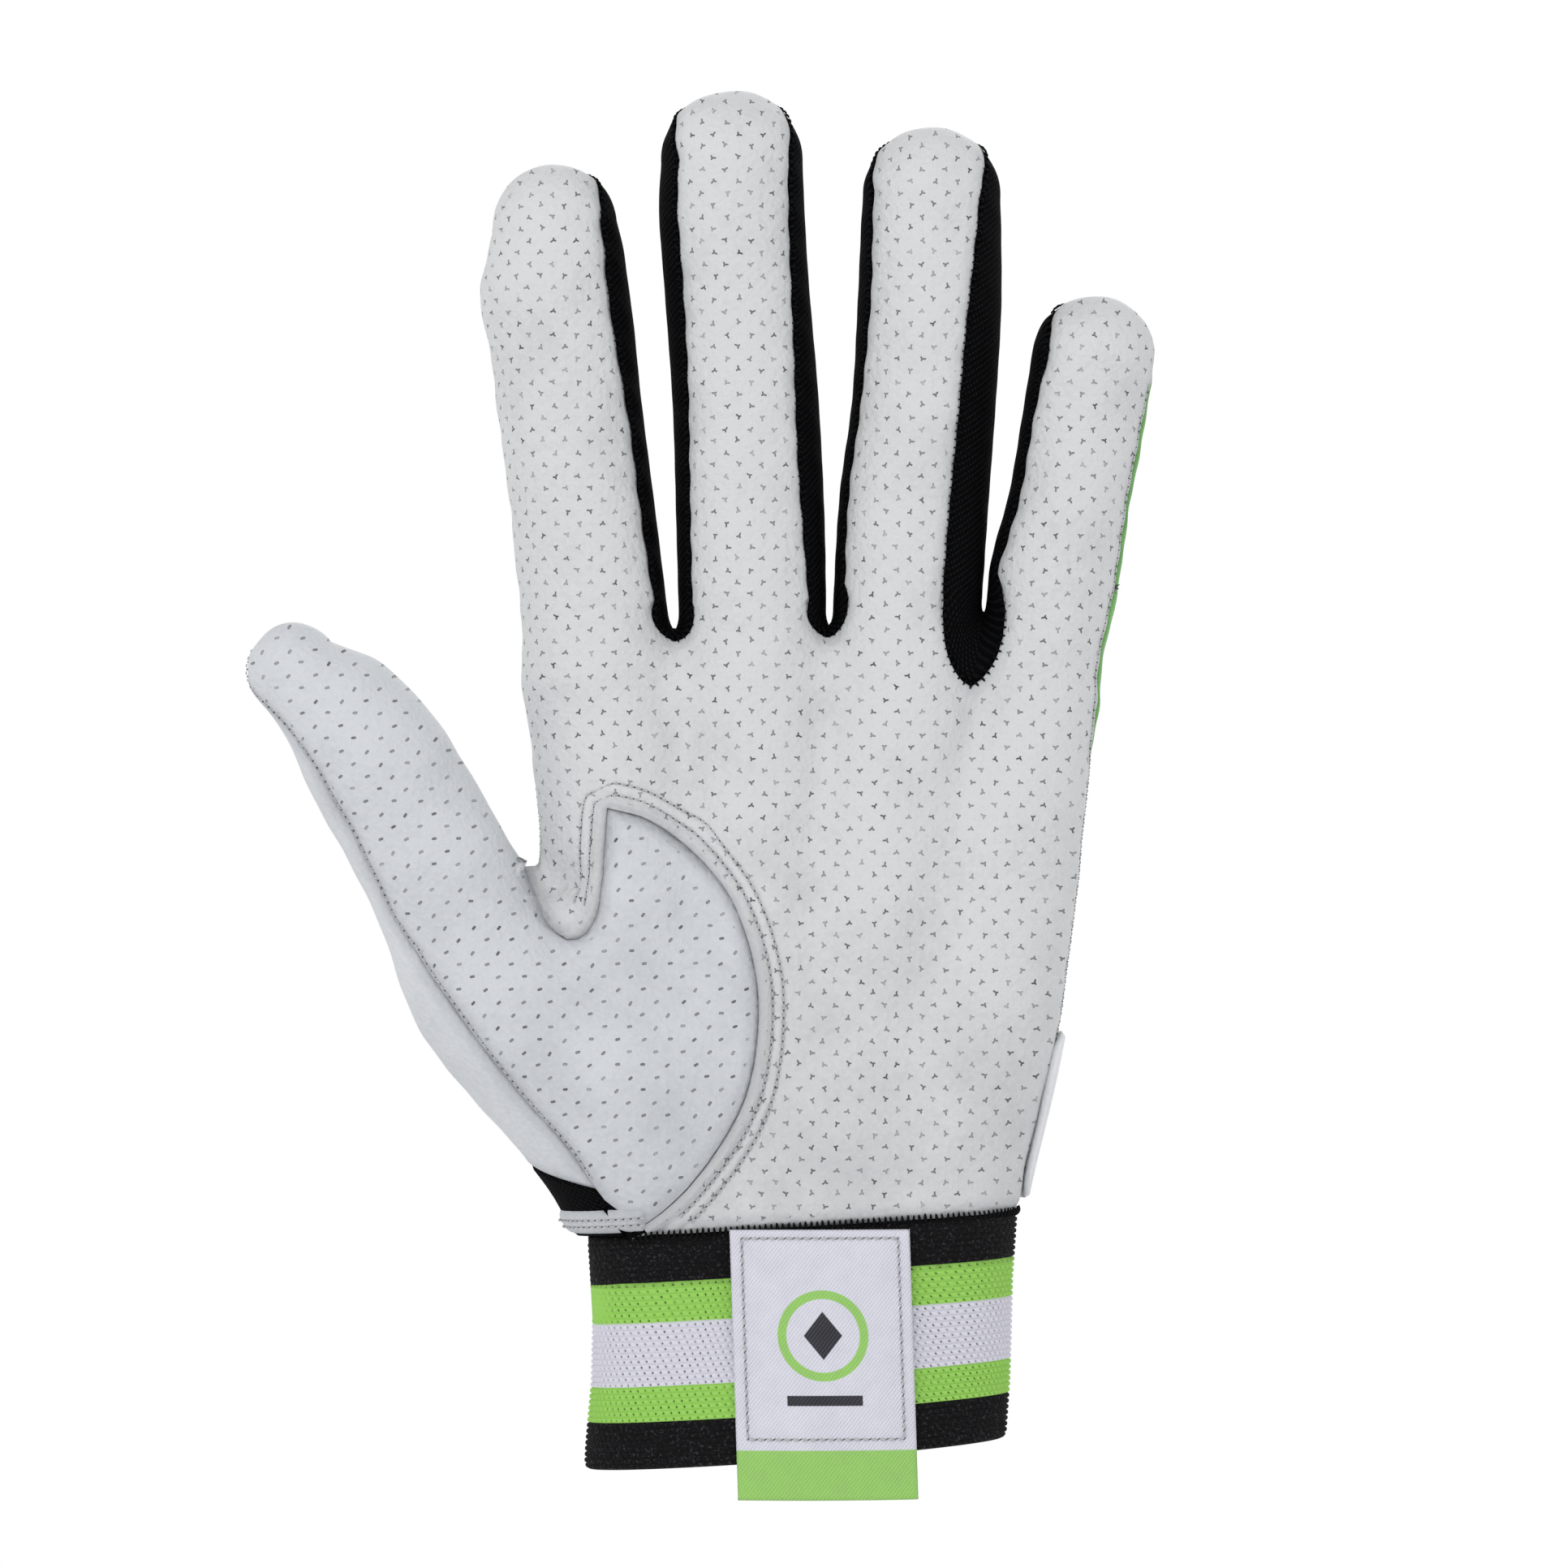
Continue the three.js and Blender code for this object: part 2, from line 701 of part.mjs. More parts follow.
// The line across the palm from the tongue to the outer side.
const columns = 4 * FINGER_COLUMNS + 3 * CROTCH_STEPS;
const acrossColumns = columns - TONGUE_COLUMNS;
const between = (a, b, count) => steps(count).map((w) => {
  if (w === 0) {
    return a;
  }
  return w === 1 ? b : mixRay(a, b, w);
});
const palmAcross = steps(acrossColumns).map((w) => {
  if (w === 0) {
    return notchRight[TONGUE_COLUMNS];
  }
  if (w === 1) {
    return palmRightUpper[upperCount];
  }
  const x = mix(spot(...LOBE[0])[0], palmRightUpper[upperCount].o[0], w);
  const z = mix(spot(...LOBE[0])[1], palmRightUpper[upperCount].o[2], w);
  return over(x, z, PALM_SIDE_ANGLE * w ** 3);
});
const palmWrist = steps(acrossColumns).map((w) => {
  if (w === 0) {
    return wristLeft;
  }
  return w === 1 ? wristRight : overWrist(mix(wristLeftX, wristRightX, w), PALM_SIDE_ANGLE * w ** 3);
});

const combFront = fingers.flatMap((limb, i) => [
  ...frontRow(limb, baseRow(limb), FINGER_COLUMNS),
  ...(i < 3 ? crotches[i].map((row) => row[0]) : []),
]);
const combBack = fingers.flatMap((limb, i) => [
  ...backRow(limb, baseRow(limb), FINGER_COLUMNS),
  ...(i < 3 ? crotches[i].map((row) => row[FOURCHETTE_COLUMNS]) : []),
]);

const palmLeftAll = [...palmLeft, ...notchLeft.slice(1)];
const palmBottom = [...notchRight, ...palmAcross.slice(1)];
const palmPatches = [
  ...fingers.map((limb) => digitRows(limb).map((row) => frontRow(limb, row, FINGER_COLUMNS))),
  fillPatch(combFront, palmBottom, palmLeftAll, palmRightUpper, 4),
  fillPatch(palmAcross, palmWrist, lobeRays, [...palmRightLower, ...palmRightWrist.slice(1)], 1),
].map(surfacePatch);

// The thumb's front panel: the digit, the part beside the notch, and the lobe.
const thumbRows = digitRows(limbs.thumb);
const thumbFront = thumbRows.map((row) => frontRow(limbs.thumb, row, THUMB_COLUMNS));
const thumbStart = [...thumbFront[0]];
thumbStart[THUMB_COLUMNS] = webRay;
thumbStart[0] = seamUpper[0];
thumbFront[0] = thumbFront[0].map((ray, j) => (j === THUMB_COLUMNS ? webRay : ray));
thumbFront[0][0] = seamUpper[0];
const crossLine = between(seamUpper[NOTCH_ROWS], notchFloor, THUMB_COLUMNS);
const thumbPatches = [
  thumbFront,
  fillPatch(thumbStart, crossLine, seamUpper, notchLeft),
  fillPatch(
    [...crossLine, ...notchRight.slice(1)],
    Array.from({ length: THUMB_COLUMNS + TONGUE_COLUMNS + 1 }, () => wristLeft),
    [...seamLower, ...seamEnd.slice(1)],
    lobeRays,
  ),
].map(surfacePatch);

// The thumb's back panel, from the front seam round the outer side to the web.
const thumbBackRow = (row) => steps(THUMB_BACK_COLUMNS).map((w) => digitRay(
  limbs.thumb,
  row,
  mix(frontAngle(limbs.thumb, 0, row), frontAngle(limbs.thumb, 1, row) - 360, w),
));
const thumbBack = thumbRows.map(thumbBackRow);
thumbBack[0][0] = seamUpper[0];
thumbBack[0][THUMB_BACK_COLUMNS] = webRay;
const thumbBackEnd = steps(THUMB_BACK_COLUMNS).map((w) => {
  if (w === 0) {
    return seamLower[LOWER_ROWS];
  }
  if (w === 1) {
    return backSeam[LOWER_ROWS + NOTCH_ROWS];
  }
  const a = seamLower[LOWER_ROWS].o;
  const b = backSeam[LOWER_ROWS + NOTCH_ROWS].o;
  return aim(mixVector(a, b, w), turned([1, 0, 0], -180 * w));
});
const thumbBackPatches = [
  thumbBack,
  fillPatch(
    thumbBack[0],
    thumbBackEnd,
    [...seamUpper, ...seamLower.slice(1)],
    backSeam,
  ),
].map(surfacePatch);

// The fabric back, and the mesh below it round the wrist.
const backEnd = steps(columns).map((w) => {
  if (w === 0) {
    return backSeam[LOWER_ROWS + NOTCH_ROWS];
  }
  if (w === 1) {
    return palmRightLower[LOWER_ROWS];
  }
  const a = backSeam[LOWER_ROWS + NOTCH_ROWS].o;
  const b = palmRightLower[LOWER_ROWS].o;
  return over(mix(a[0], b[0], w), mix(a[2], b[2], w), 180 - (180 - PALM_SIDE_ANGLE) * w ** 3);
});
const backPatches = [
  ...fingers.map((limb) => digitRows(limb).slice(0, -1).map((row) => backRow(limb, row, FINGER_COLUMNS))),
  fillPatch(
    combBack,
    backEnd,
    [...palmLeft, ...backSeam.slice(1)],
    [...palmRightUpper, ...palmRightLower.slice(1)],
    6,
  ),
].map(surfacePatch);

const meshTop = [...backEnd].reverse().concat([...thumbBackEnd].reverse().slice(1));
const meshColumns = meshTop.length - 1;
const meshBottom = steps(meshColumns).map((w) => {
  if (w === 0) {
    return wristRight;
  }
  if (w === 1) {
    return wristLeft;
  }
  const turn = columns / meshColumns;
  const angle = w < turn
    ? PALM_SIDE_ANGLE + (180 - PALM_SIDE_ANGLE) * (1 - (1 - w / turn) ** 3)
    : 180 + (180 * (w - turn)) / (1 - turn);
  return overWrist(mix(wristRightX, wristLeftX + 5, clamp(w / turn, 0, 1)), angle);
});
const meshPatches = [fillPatch(meshTop, meshBottom, palmRightWrist, seamEnd)].map(surfacePatch);

// Each fourchette runs down one finger, round the crotch and up the next.
function fourchettePatches(which) {
  const sideRows = (limb, side) => digitRows(limb).filter((row) => row.over <= TIP_MEET).map((row) => (
    steps(FOURCHETTE_COLUMNS).map((w) => digitRay(
      limb,
      row,
      mix(frontAngle(limb, side, row), backAngle(limb, side, row), w),
    ))
  ));
  const down = sideRows(fingers[which], 1).reverse();
  const up = sideRows(fingers[which + 1], 0);
  return [[...down, ...crotches[which], ...up]].map(surfacePatch);
}

// The closure strap lies over the back of the wrist; its end turns round the outer side.
function strapPatches() {
  const top = wristZ(0) + 2 + STRAP_WIDTH;
  const endX = wristLeftX + 12;
  const across = 18;
  return [steps(4).map((v) => {
    const edge = Math.abs(v * 2 - 1);
    const round = 0.05 * (1 - Math.sqrt(1 - Math.min(edge ** 6, 1)));
    return steps(across).map((w) => {
      const s = mix(round, 1 - round, w);
      const x = mix(wristRightX + 3, endX, s);
      const z = top - v * STRAP_WIDTH + x * WRIST_SLOPE;
      return over(x, z, 180 - 102 * (1 - s) ** 3, WRIST_SLOPE);
    });
  })].map(surfacePatch);
}

// The folded leather binding at the wrist's inner side.
function bindingPatches() {
  return [steps(2).map((v) => steps(12).map((w) => {
    const x = mix(wristLeftX + 2, wristLeftX + 8, w);
    const z = wristZ(x) + 0.3 + v * BINDING_WIDTH;
    return over(x, z, -150 * w, WRIST_SLOPE);
  }))].map(surfacePatch);
}

// The knit cuff: its upper edge follows the hand form at the wrist, its lower edge an oval.
function cuffRing(share, inwards) {
  const top = wristZ(0) - SEAM_GAP / 2;
  const halfWide = 0.382 * HAND_BREADTH;
  const halfDeep = halfWide * CUFF_DEPTH_SHARE;
  return steps(RING_SIDES).slice(0, -1).map((w) => {
    const angle = w * 360;
    const d = turned([1, 0, 0], angle);
    const centre = [0, 0, wristZ(0)];
    const ray = aim(centre, [d[0], d[1], d[0] * WRIST_SLOPE]);
    const hit = castRay(ray).p;
    const oval = [d[0] * halfWide, d[1] * halfDeep, d[0] * halfWide * CUFF_SLOPE];
    const upper = [hit[0], hit[1], top + hit[0] * WRIST_SLOPE];
    const p = mixVector(upper, oval, share);
    const n = unit([d[0] * halfDeep, d[1] * halfWide, 0]);
    return sub(p, scale(n, inwards));
  });
}

function makeCuff() {
  const rows = steps(4);
  const rings = [
    ...rows.map((share) => cuffRing(share, 0)),
    ...[...rows].reverse().map((share) => cuffRing(share, KNIT_WALL)),
  ];
  const triangles = [];
  rings.forEach((_, i) => {
    const next = (i + 1) % rings.length;
    for (let j = 0; j < RING_SIDES; j += 1) {
      const k = (j + 1) % RING_SIDES;
      const [a, b] = [i * RING_SIDES + j, i * RING_SIDES + k];
      const [c, d] = [next * RING_SIDES + k, next * RING_SIDES + j];
      triangles.push([a, c, b], [a, d, c]);
    }
  });
  return makeGeometry(rings.flat(), triangles);
}

// The woven label hangs over the cuff's front and a little below it.
function cuffFrontY(x, z) {
  const share = clamp((wristZ(0) + x * WRIST_SLOPE - z) / (wristZ(0) + x * (WRIST_SLOPE - CUFF_SLOPE)), 0, 1);
  const ring = cuffRing(share, 0).filter((p) => p[1] < 0).sort((a, b) => a[0] - b[0]);
  const i = clamp(ring.findIndex((p) => p[0] > x), 1, ring.length - 1);
  const w = (x - ring[i - 1][0]) / (ring[i][0] - ring[i - 1][0]);
  return mix(ring[i - 1][1], ring[i][1], w);
}

function makeLabel() {
  const middle = 3.2;
  const top = wristZ(middle) - 0.6;
  const columnsWide = 6;
  const rowsLong = 7;
  const patch = steps(rowsLong).map((v) => steps(columnsWide).map((w) => {
    const x = middle + mix(-0.5, 0.5, w) * LABEL_WIDTH + v * 1.4;
    const z = top - v * LABEL_LENGTH;
    return { p: [x, cuffFrontY(x, Math.max(z, 0)) - SEAM_GAP, z], n: [0, -1, 0] };
  }));
  return makeShell([patch], LABEL_WALL, { stand: 0.001 });
}

const FINISHES = {
  leather: { color: 0xe6e8ec, roughness: 0.6 },
  thumb: { color: 0xdfe3ea, roughness: 0.55 },
  mesh: { color: 0x16171a, roughness: 0.85 },
  back: { color: 0x86cf6c, roughness: 0.7 },
  knit: { color: 0x8bcf5c, roughness: 0.9 },
  label: { color: 0xe4e2ee, roughness: 0.5 },
};

const glove = new THREE.Group();
glove.name = 'batting_glove';

function addPart(name, geometry, finish) {
  const material = new THREE.MeshStandardMaterial({ ...FINISHES[finish], metalness: 0 });
  material.name = name;
  const mesh = new THREE.Mesh(geometry, material);
  mesh.name = name;
  glove.add(mesh);
}

addPart('palm_leather', makeShell(palmPatches, LEATHER_WALL), 'leather');
addPart('thumb_front_leather', makeShell(thumbPatches, LEATHER_WALL), 'thumb');
addPart('thumb_back_leather', makeShell(thumbBackPatches, LEATHER_WALL), 'leather');
addPart('fourchette_index_middle', makeShell(fourchettePatches(0), MESH_WALL, { inset: TUCKED_INSET }), 'mesh');
addPart('fourchette_middle_ring', makeShell(fourchettePatches(1), MESH_WALL, { inset: TUCKED_INSET }), 'mesh');
addPart('fourchette_ring_little', makeShell(fourchettePatches(2), MESH_WALL, { inset: TUCKED_INSET }), 'mesh');
addPart('back_panel', makeShell(backPatches, BACK_WALL, { inset: TUCKED_INSET }), 'back');
addPart('wrist_mesh', makeShell(meshPatches, MESH_WALL), 'mesh');
addPart('wrist_strap', makeShell(strapPatches(), STRAP_WALL, { stand: STRAP_CLEARANCE }), 'leather');
addPart('wrist_binding', makeShell(bindingPatches(), BINDING_WALL, { stand: STRAP_CLEARANCE }), 'leather');
addPart('cuff', makeCuff(), 'knit');
addPart('woven_label', makeLabel(), 'label');

export default glove;
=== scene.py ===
"""A left-hand batting glove, dressed over its CAD solids: leather, mesh, knit, label, thread.

Every panel is a grid of rays cast from inside one rounded hand form, the form of the solids.
Sizes are in millimetres until a mesh is made, and +Z is up with the palm facing -Y.
"""

import json
import logging
import math
from dataclasses import dataclass
from enum import Enum

import bpy
import numpy as np
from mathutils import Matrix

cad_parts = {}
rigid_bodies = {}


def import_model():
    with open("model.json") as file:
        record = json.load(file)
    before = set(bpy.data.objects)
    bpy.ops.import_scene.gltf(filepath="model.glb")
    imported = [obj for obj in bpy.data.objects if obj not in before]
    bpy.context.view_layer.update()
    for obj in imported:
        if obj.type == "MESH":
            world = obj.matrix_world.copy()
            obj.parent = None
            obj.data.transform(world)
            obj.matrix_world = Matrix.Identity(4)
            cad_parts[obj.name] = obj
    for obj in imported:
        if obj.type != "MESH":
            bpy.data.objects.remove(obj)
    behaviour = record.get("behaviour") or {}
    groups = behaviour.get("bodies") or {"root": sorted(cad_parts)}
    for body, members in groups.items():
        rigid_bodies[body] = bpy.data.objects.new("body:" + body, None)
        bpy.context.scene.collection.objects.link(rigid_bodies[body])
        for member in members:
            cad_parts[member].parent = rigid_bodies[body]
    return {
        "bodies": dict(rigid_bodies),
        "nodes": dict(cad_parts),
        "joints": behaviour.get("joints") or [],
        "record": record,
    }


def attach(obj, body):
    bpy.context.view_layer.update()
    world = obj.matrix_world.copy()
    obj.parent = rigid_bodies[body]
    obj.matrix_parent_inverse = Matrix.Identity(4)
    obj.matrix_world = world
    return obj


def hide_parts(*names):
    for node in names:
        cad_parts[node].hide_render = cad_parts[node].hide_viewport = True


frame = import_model()

LOG = logging.getLogger("glove")
MM = 0.001
RADIANS = math.pi / 180
HAND_LENGTH = 183.0
HAND_BREADTH = 90.0
# The hand's depths are this share of a round hand's.
DEPTH_RATIO = 0.9
CUFF_HEIGHT = 38.2
CUFF_DEPTH_SHARE = 0.5
# How much the wrist line and the cuff's lower rim rise towards the little finger's side.
WRIST_SLOPE = 0.059
CUFF_SLOPE = 0.073
# How widely the limbs of the hand form run into one another.
BLEND_PALM = 5.0
BLEND_THUMB = 9.0
BLEND_WEB = 3.0
BLEND_FINGER = 3.0
# Over a fingertip: where front and back seam meet, where the seam is closed, the angle it
# closes at, and how far the tip's pole is set back.
TIP_MEET = 0.85
TIP_CLOSE = 0.95
CLOSE_ANGLE = 179.0
POLE_BACK = 25 * RADIANS
# The angle of the palm's outer seam, and the heights at which its patches and the back end.
PALM_SIDE_ANGLE = 95.0
PALM_MIDDLE = 0.355
BACK_END = 0.115

# Casting: its rounds, the share of the distance taken in each, and half the span of a slope.
CAST_ROUNDS = 34
CAST_SHARE = 0.85
SLOPE_REACH = 0.35
# How fast a bone's pull on the hand's middle depth fades, in millimetres.
MIDDLE_FADE = 4.0
# Relaxing: its rounds, the share of each move taken, about how deep the surface lies on a ray,
# and how far a ray may reach before it is put back.
RELAX_ROUNDS = 700
RELAX_ROUNDS_LOBE = 400
RELAX_SHARE = 0.6
RELAX_DEPTH = 10.0
RAY_REACH = 32.0
# How straight a crotch runs inwards, on its left and on its right half: 0 round, 1 straight.
CROTCH_STRAIGHT = (0.45, 0.95)
# The share along the thumb, and the angle, at which the web between thumb and palm is met.
WEB_AT = 0.5
WEB_ANGLE = PALM_SIDE_ANGLE + 5
# How far the palm's seam below the index finger leans to the back, and the power of its rise.
INDEX_LEAN = 0.42
INDEX_LEAN_POWER = 0.7
# Where the little finger's seam starts to turn to the palm's side, and over what height.
LITTLE_TURN_TOP = 0.45
LITTLE_TURN_SPAN = 0.06
# Where the wrist's right end lies along the last bone.
WRIST_END_AT = 0.1
# The power by which a line across the hand keeps to its face and turns late to the side.
LATE_TURN = 3
# How closely a patch keeps the pull of its side edges, see fill_patch.
PALM_PULL = 4
BACK_PULL = 6
# How far right of the wrist's left end the mesh turns behind.
MESH_TURN_X = 5.0
# Strap: cells along and across, its ends from the wrist's right and left end, height above the
# wrist line, width, how round its end is as a share, and how far that end turns round the side.
STRAP_CELLS = (110, 40)
STRAP_ENDS = (3, 12)
STRAP_RISE = 2
STRAP_WIDTH = 27
STRAP_ROUNDING = 0.05
STRAP_TURN = 102
# Binding: cells across and along, its ends from the wrist's left end, height above the wrist
# line, width, turn behind, stand off the hand and the rows of cells that are sewn.
BINDING_CELLS = (12, 60)
BINDING_ENDS = (3.2, 8)
BINDING_RISE = 0.3
BINDING_WIDTH = 4.4
BINDING_TURN = 150
BINDING_STAND = 0.8
BINDING_ROWS = (5, 8)
# The little finger's side of the palm stands out: how far, from which x and over what width,
# round which height and over what reach.
SWELL = 1.4
SWELL_X = 20
SWELL_WIDE = 10
SWELL_Z = 80
SWELL_REACH = 30
# Worn leather: the reach from an edge within which its relief fades, and what is left there.
RELIEF_FADE = 3
RELIEF_LEAST = 0.15
# A panel's rolled edge: its radius, and how much of the quarter circle is used.
EDGE_ROLL = 0.5
ROLL_SHARE = 0.97
EDGE_REACH = 9.0
# The outer share of the palm's width that is laid flat by arc length.
LAY_OUTER = 0.86
# How many points are measured against a line at a time.
BATCH = 4000
# Points closer than one part in this many of a millimetre are welded.
WELD_PARTS = 50
# Puckers at a panel's border: how far they reach in, their length, and the run along x, y, z.
PUCKER_REACH = 2.4
PUCKER_LENGTH = 5.5
PUCKER_RUN = (0.5, 0.4, 0.9)
# The turned hem: its two sewn rows, then its folds as rise, distance from the seam and width.
HEM_ROWS = (2.4, 4.3)
HEM_FOLDS = [(0.5, 1.15, 0.75), (-0.22, HEM_ROWS[0], 0.4), (-0.2, HEM_ROWS[1], 0.4), (0.1, 3.3, 0.6)]
HEM_PITCH = 0.4
# How many of a finger's rows its outer seam is sewn along.
SIDE_ROWS = 70
# Stitching: its seed, how far stitches turn in degrees and differ in size, and how deep the
# dark dots of painted shade in the needle holes lie.
SEED = 11
TURN_SPREAD = 5
SIZE_SPREAD = 0.05
HOLE_DEPTH = 0.02
# The label's frame of stitches: half its width, its middle and half its height, and pitch.
FRAME_HALF = 12.6
FRAME_MIDDLE = 17.5
FRAME_HIGH = 16.1
FRAME_PITCH = 1.4
# Lamps: name, place and size in metres, and power in watts; then the point they look at.
LAMPS = [("key", (-0.6, -1.0, 0.9), 0.9, 4.9), ("fill", (0.8, -0.9, 0.5), 1.0, 1.0),
         ("rear", (0.2, 1.2, 0.9), 1.0, 4.0)]
LAMP_TARGET = (0, 0, 0.11)
CAMERA_PLACE = (-0.0026, -1.416, 0.1087)
CAMERA_LENS = 200
CAMERA_SENSOR = 36
# The floor's width, height and cells, in metres; the sky's stops are heights and colours.
FLOOR_WIDTH = 4.4
FLOOR_HEIGHT = -0.25
FLOOR_CELLS = 40
SKY = [(0.2, (1, 1, 1, 1)), (0.6, (0.55, 0.55, 0.56, 1))]
# Slow waves of worn leather: height, waves along x, y and z, and start.
WAVES = [(0.10, 0.31, 0.2, 0.13, 0), (0.09, 0.17, 0, -0.29, 1.3),
         (0.07, 0.24, 0.4, 0.55, 2.1), (0.06, 0.7, 0, -0.45, 0)]

# Digit rows: share along the chord, sideways shift, depth shift and radius, in shares of
# the breadth. Seam rows: share along, then the front seam's angle on the left and right.
DIGITS = {
    "index": {
        "base": (-0.364, 0.505), "tip": (-0.441, 0.878),
        "rows": [(0, 0, 0, .1334), (.29, -.0016, -.004, .1305), (.58, -.0062, -.014, .1298),
                 (.754, -.0081, -.026, .132), (.87, -.0123, -.037, .1334),
                 (.928, -.0056, -.044, .1254), (1, 0, -.052, .1129)],
        "seams": [(0, -100, 62), (.3, -100, 56), (.52, -100, 56), (.754, -100, 48), (1, -100, 50)],
        "back": (-100, 125), "start": .1,
    },
    "middle": {
        "base": (-0.084, 0.512), "tip": (-0.122, 0.937),
        "rows": [(0, 0, 0, .133), (.239, .0047, -.003, .1342), (.495, .0057, -.013, .132),
                 (.751, -.0015, -.03, .1305), (.904, -.0041, -.045, .1312), (1, 0, -.056, .1276)],
        "seams": [(0, -57, 56), (.24, -56, 46), (.45, -54, 44), (.7, -50, 50), (1, -50, 56)],
        "back": (-125, 125), "start": .085,
    },
    "ring": {
        "base": (0.191, 0.512), "tip": (0.238, 0.906),
        "rows": [(0, 0, 0, .1335), (.3125, .0007, -.006, .1349), (.533, .0081, -.016, .1298),
                 (.754, .0079, -.03, .1298), (.919, .0029, -.045, .1268), (1, 0, -.055, .1239)],
        "seams": [(0, -60, 27), (.3, -64, 29), (.53, -64, 30), (.75, -58, 33), (1, -61, 45)],
        "back": (-125, 125), "start": .12,
    },
    "little": {
        "base": (0.435, 0.469), "tip": (0.529, 0.763),
        "rows": [(0, 0, 0, .104), (.123, -.0057, -.002, .108), (.344, -.0073, -.01, .1173),
                 (.565, -.0015, -.022, .11), (.786, 0, -.037, .11), (1, 0, -.055, .11)],
        "seams": [(0, -80, 72), (.27, -69, 72), (.42, -60, 72), (.8, -58, 74), (1, -50, 86)],
        "back": (-125, 72), "start": .32,
    },
    "thumb": {
        "base": (-0.286, 0.072), "tip": (-0.905, 0.486),
        "rows": [(0, 0, -.035, .1833), (.188, -.0195, -.04, .1789), (.373, -.0522, -.055, .1525),
                 (.5956, -.0035, -.105, .1364), (.795, .0202, -.14, .1305),
                 (.921, .0243, -.155, .1085), (1, 0, -.16, .0836)],
        "seams": [(.5, -44, 100), (.586, -53, 100), (.741, -49, 100), (.863, -54, 100), (1, -78, 100)],
        "back": (-78, 100), "start": .5,
    },
}
# The four bones of the palm, wrist to knuckle, in the same columns.
BONES = [
    ((-.191, -.06), (-.364, .475), [(0, 0, 0, .1833), (.5, 0, 0, .156), (1, 0, 0, .1334)]),
    ((-.081, -.06), (-.084, .475), [(0, 0, 0, .1906), (.5, 0, 0, .158), (1, 0, 0, .1349)]),
    ((.051, -.06), (.191, .475), [(0, 0, 0, .1906), (.5, 0, 0, .158), (1, 0, 0, .1364)]),
    ((.192, -.06), (.43, .452), [(0, 0, 0, .173), (.33, 0, 0, .157), (.55, 0, 0, .1437),
                                 (.8, -.0059, 0, .1232), (1, 0, 0, .106)]),
]
WEBS = [((-.36, .473), (-.084, .473), .085), ((-.084, .475), (.191, .475), .085),
        ((.191, .49), (.43, .49), .082)]
# Each crotch: where its front seam is lowest, and how high the crotch itself is.
CROTCHES = [((-.222, .512), (-.223, .523)), ((.053, .516), (.053, .527)), ((.31, .471), (.336, .545))]
# Seams drawn on the palm side.
LOBE = [(-.345, .364), (-.271, .354), (-.198, .328), (-.125, .285), (-.081, .224),
        (-.075, .166), (-.098, .108), (-.154, .058), (-.224, .018), (-.308, -.013)]
NOTCH_BOTTOM = (-.418, .249)
NOTCH_LEFT = [(-.469, .287), (-.449, .262), NOTCH_BOTTOM]
NOTCH_RIGHT = [NOTCH_BOTTOM, (-.389, .2515), (-.3666, .268), (-.356, .296), (-.351, .325), (-.345, .364)]
THUMB_SEAM_UPPER = [(-.689, .238), (-.65, .209), (-.609, .18)]
THUMB_SEAM_LOWER = [(-.609, .18), (-.521, .123), (-.418, .065), (-.367, .029)]
THUMB_SEAM_END = [(-.367, .029), (-.335, .006), (-.308, -.013)]
BACK_SEAM = [(-.44, .235), (-.42, .19), (-.385, .12), (-.36, .07)]
WEB_CORE = (-.432, .255)

Array = np.ndarray
ACROSS = np.array([1.0, 0, 0])
SQUEEZE = np.array([1, DEPTH_RATIO, 1])


@dataclass(frozen=True)
class Counts:
    """How many cells each panel has, along and across."""

    finger: int = 30
    crotch: int = 16
    fourchette: int = 18
    upper: int = 46
    notch: int = 20
    lower: int = 34
    wrist: int = 14
    tongue: int = 14
    thumb: int = 34
    thumb_back: int = 44
    length: int = 74
    tip: int = 26


COUNTS = Counts()


def spot(x: float, z: float) -> Array:
    """A point of the palm's plane from its shares of the hand's breadth and length."""
    return np.array([x * HAND_BREADTH, CUFF_HEIGHT + z * HAND_LENGTH])


def unit(v: Array) -> Array:
    """Vectors along the last axis, at length one."""
    return v / np.maximum(np.linalg.norm(v, axis=-1, keepdims=True), 1e-12)


def mix(a, b, w):
    """The value a share w of the way from a to b."""
    return a + (b - a) * w


def steps(count: int) -> Array:
    """Evenly spaced shares from 0 to 1, count + 1 of them."""
    return np.linspace(0.0, 1.0, count + 1)


def read_table(rows, at) -> Array:
    """Smooth interpolation of a table whose first column is the share along.

    Args:
        rows: the table, at least two rows.
        at: the shares to read, of any shape.

    Returns:
        The other columns at each share, on a new last axis, by cubic Hermite spans.
    """
    table = np.asarray(rows, float)
    last = len(table) - 1
    value = np.clip(np.asarray(at, float), table[0, 0], table[last, 0])
    i = np.searchsorted(table[1:-1, 0], value, side="left")
    a, b = table[i], table[np.minimum(i + 1, last)]
    before, after = table[np.maximum(i - 1, 0)], table[np.minimum(i + 2, last)]
    span = (b[..., :1] - a[..., :1])
    w = (value[..., None] - a[..., :1]) / span
    slope_a = (b - before)[..., 1:] / (b - before)[..., :1] * span
    slope_b = (after - a)[..., 1:] / (after - a)[..., :1] * span
    w2, w3 = w * w, w * w * w
    return ((2 * w3 - 3 * w2 + 1) * a[..., 1:] + (w3 - 2 * w2 + w) * slope_a
            + (3 * w2 - 2 * w3) * b[..., 1:] + (w3 - w2) * slope_b)


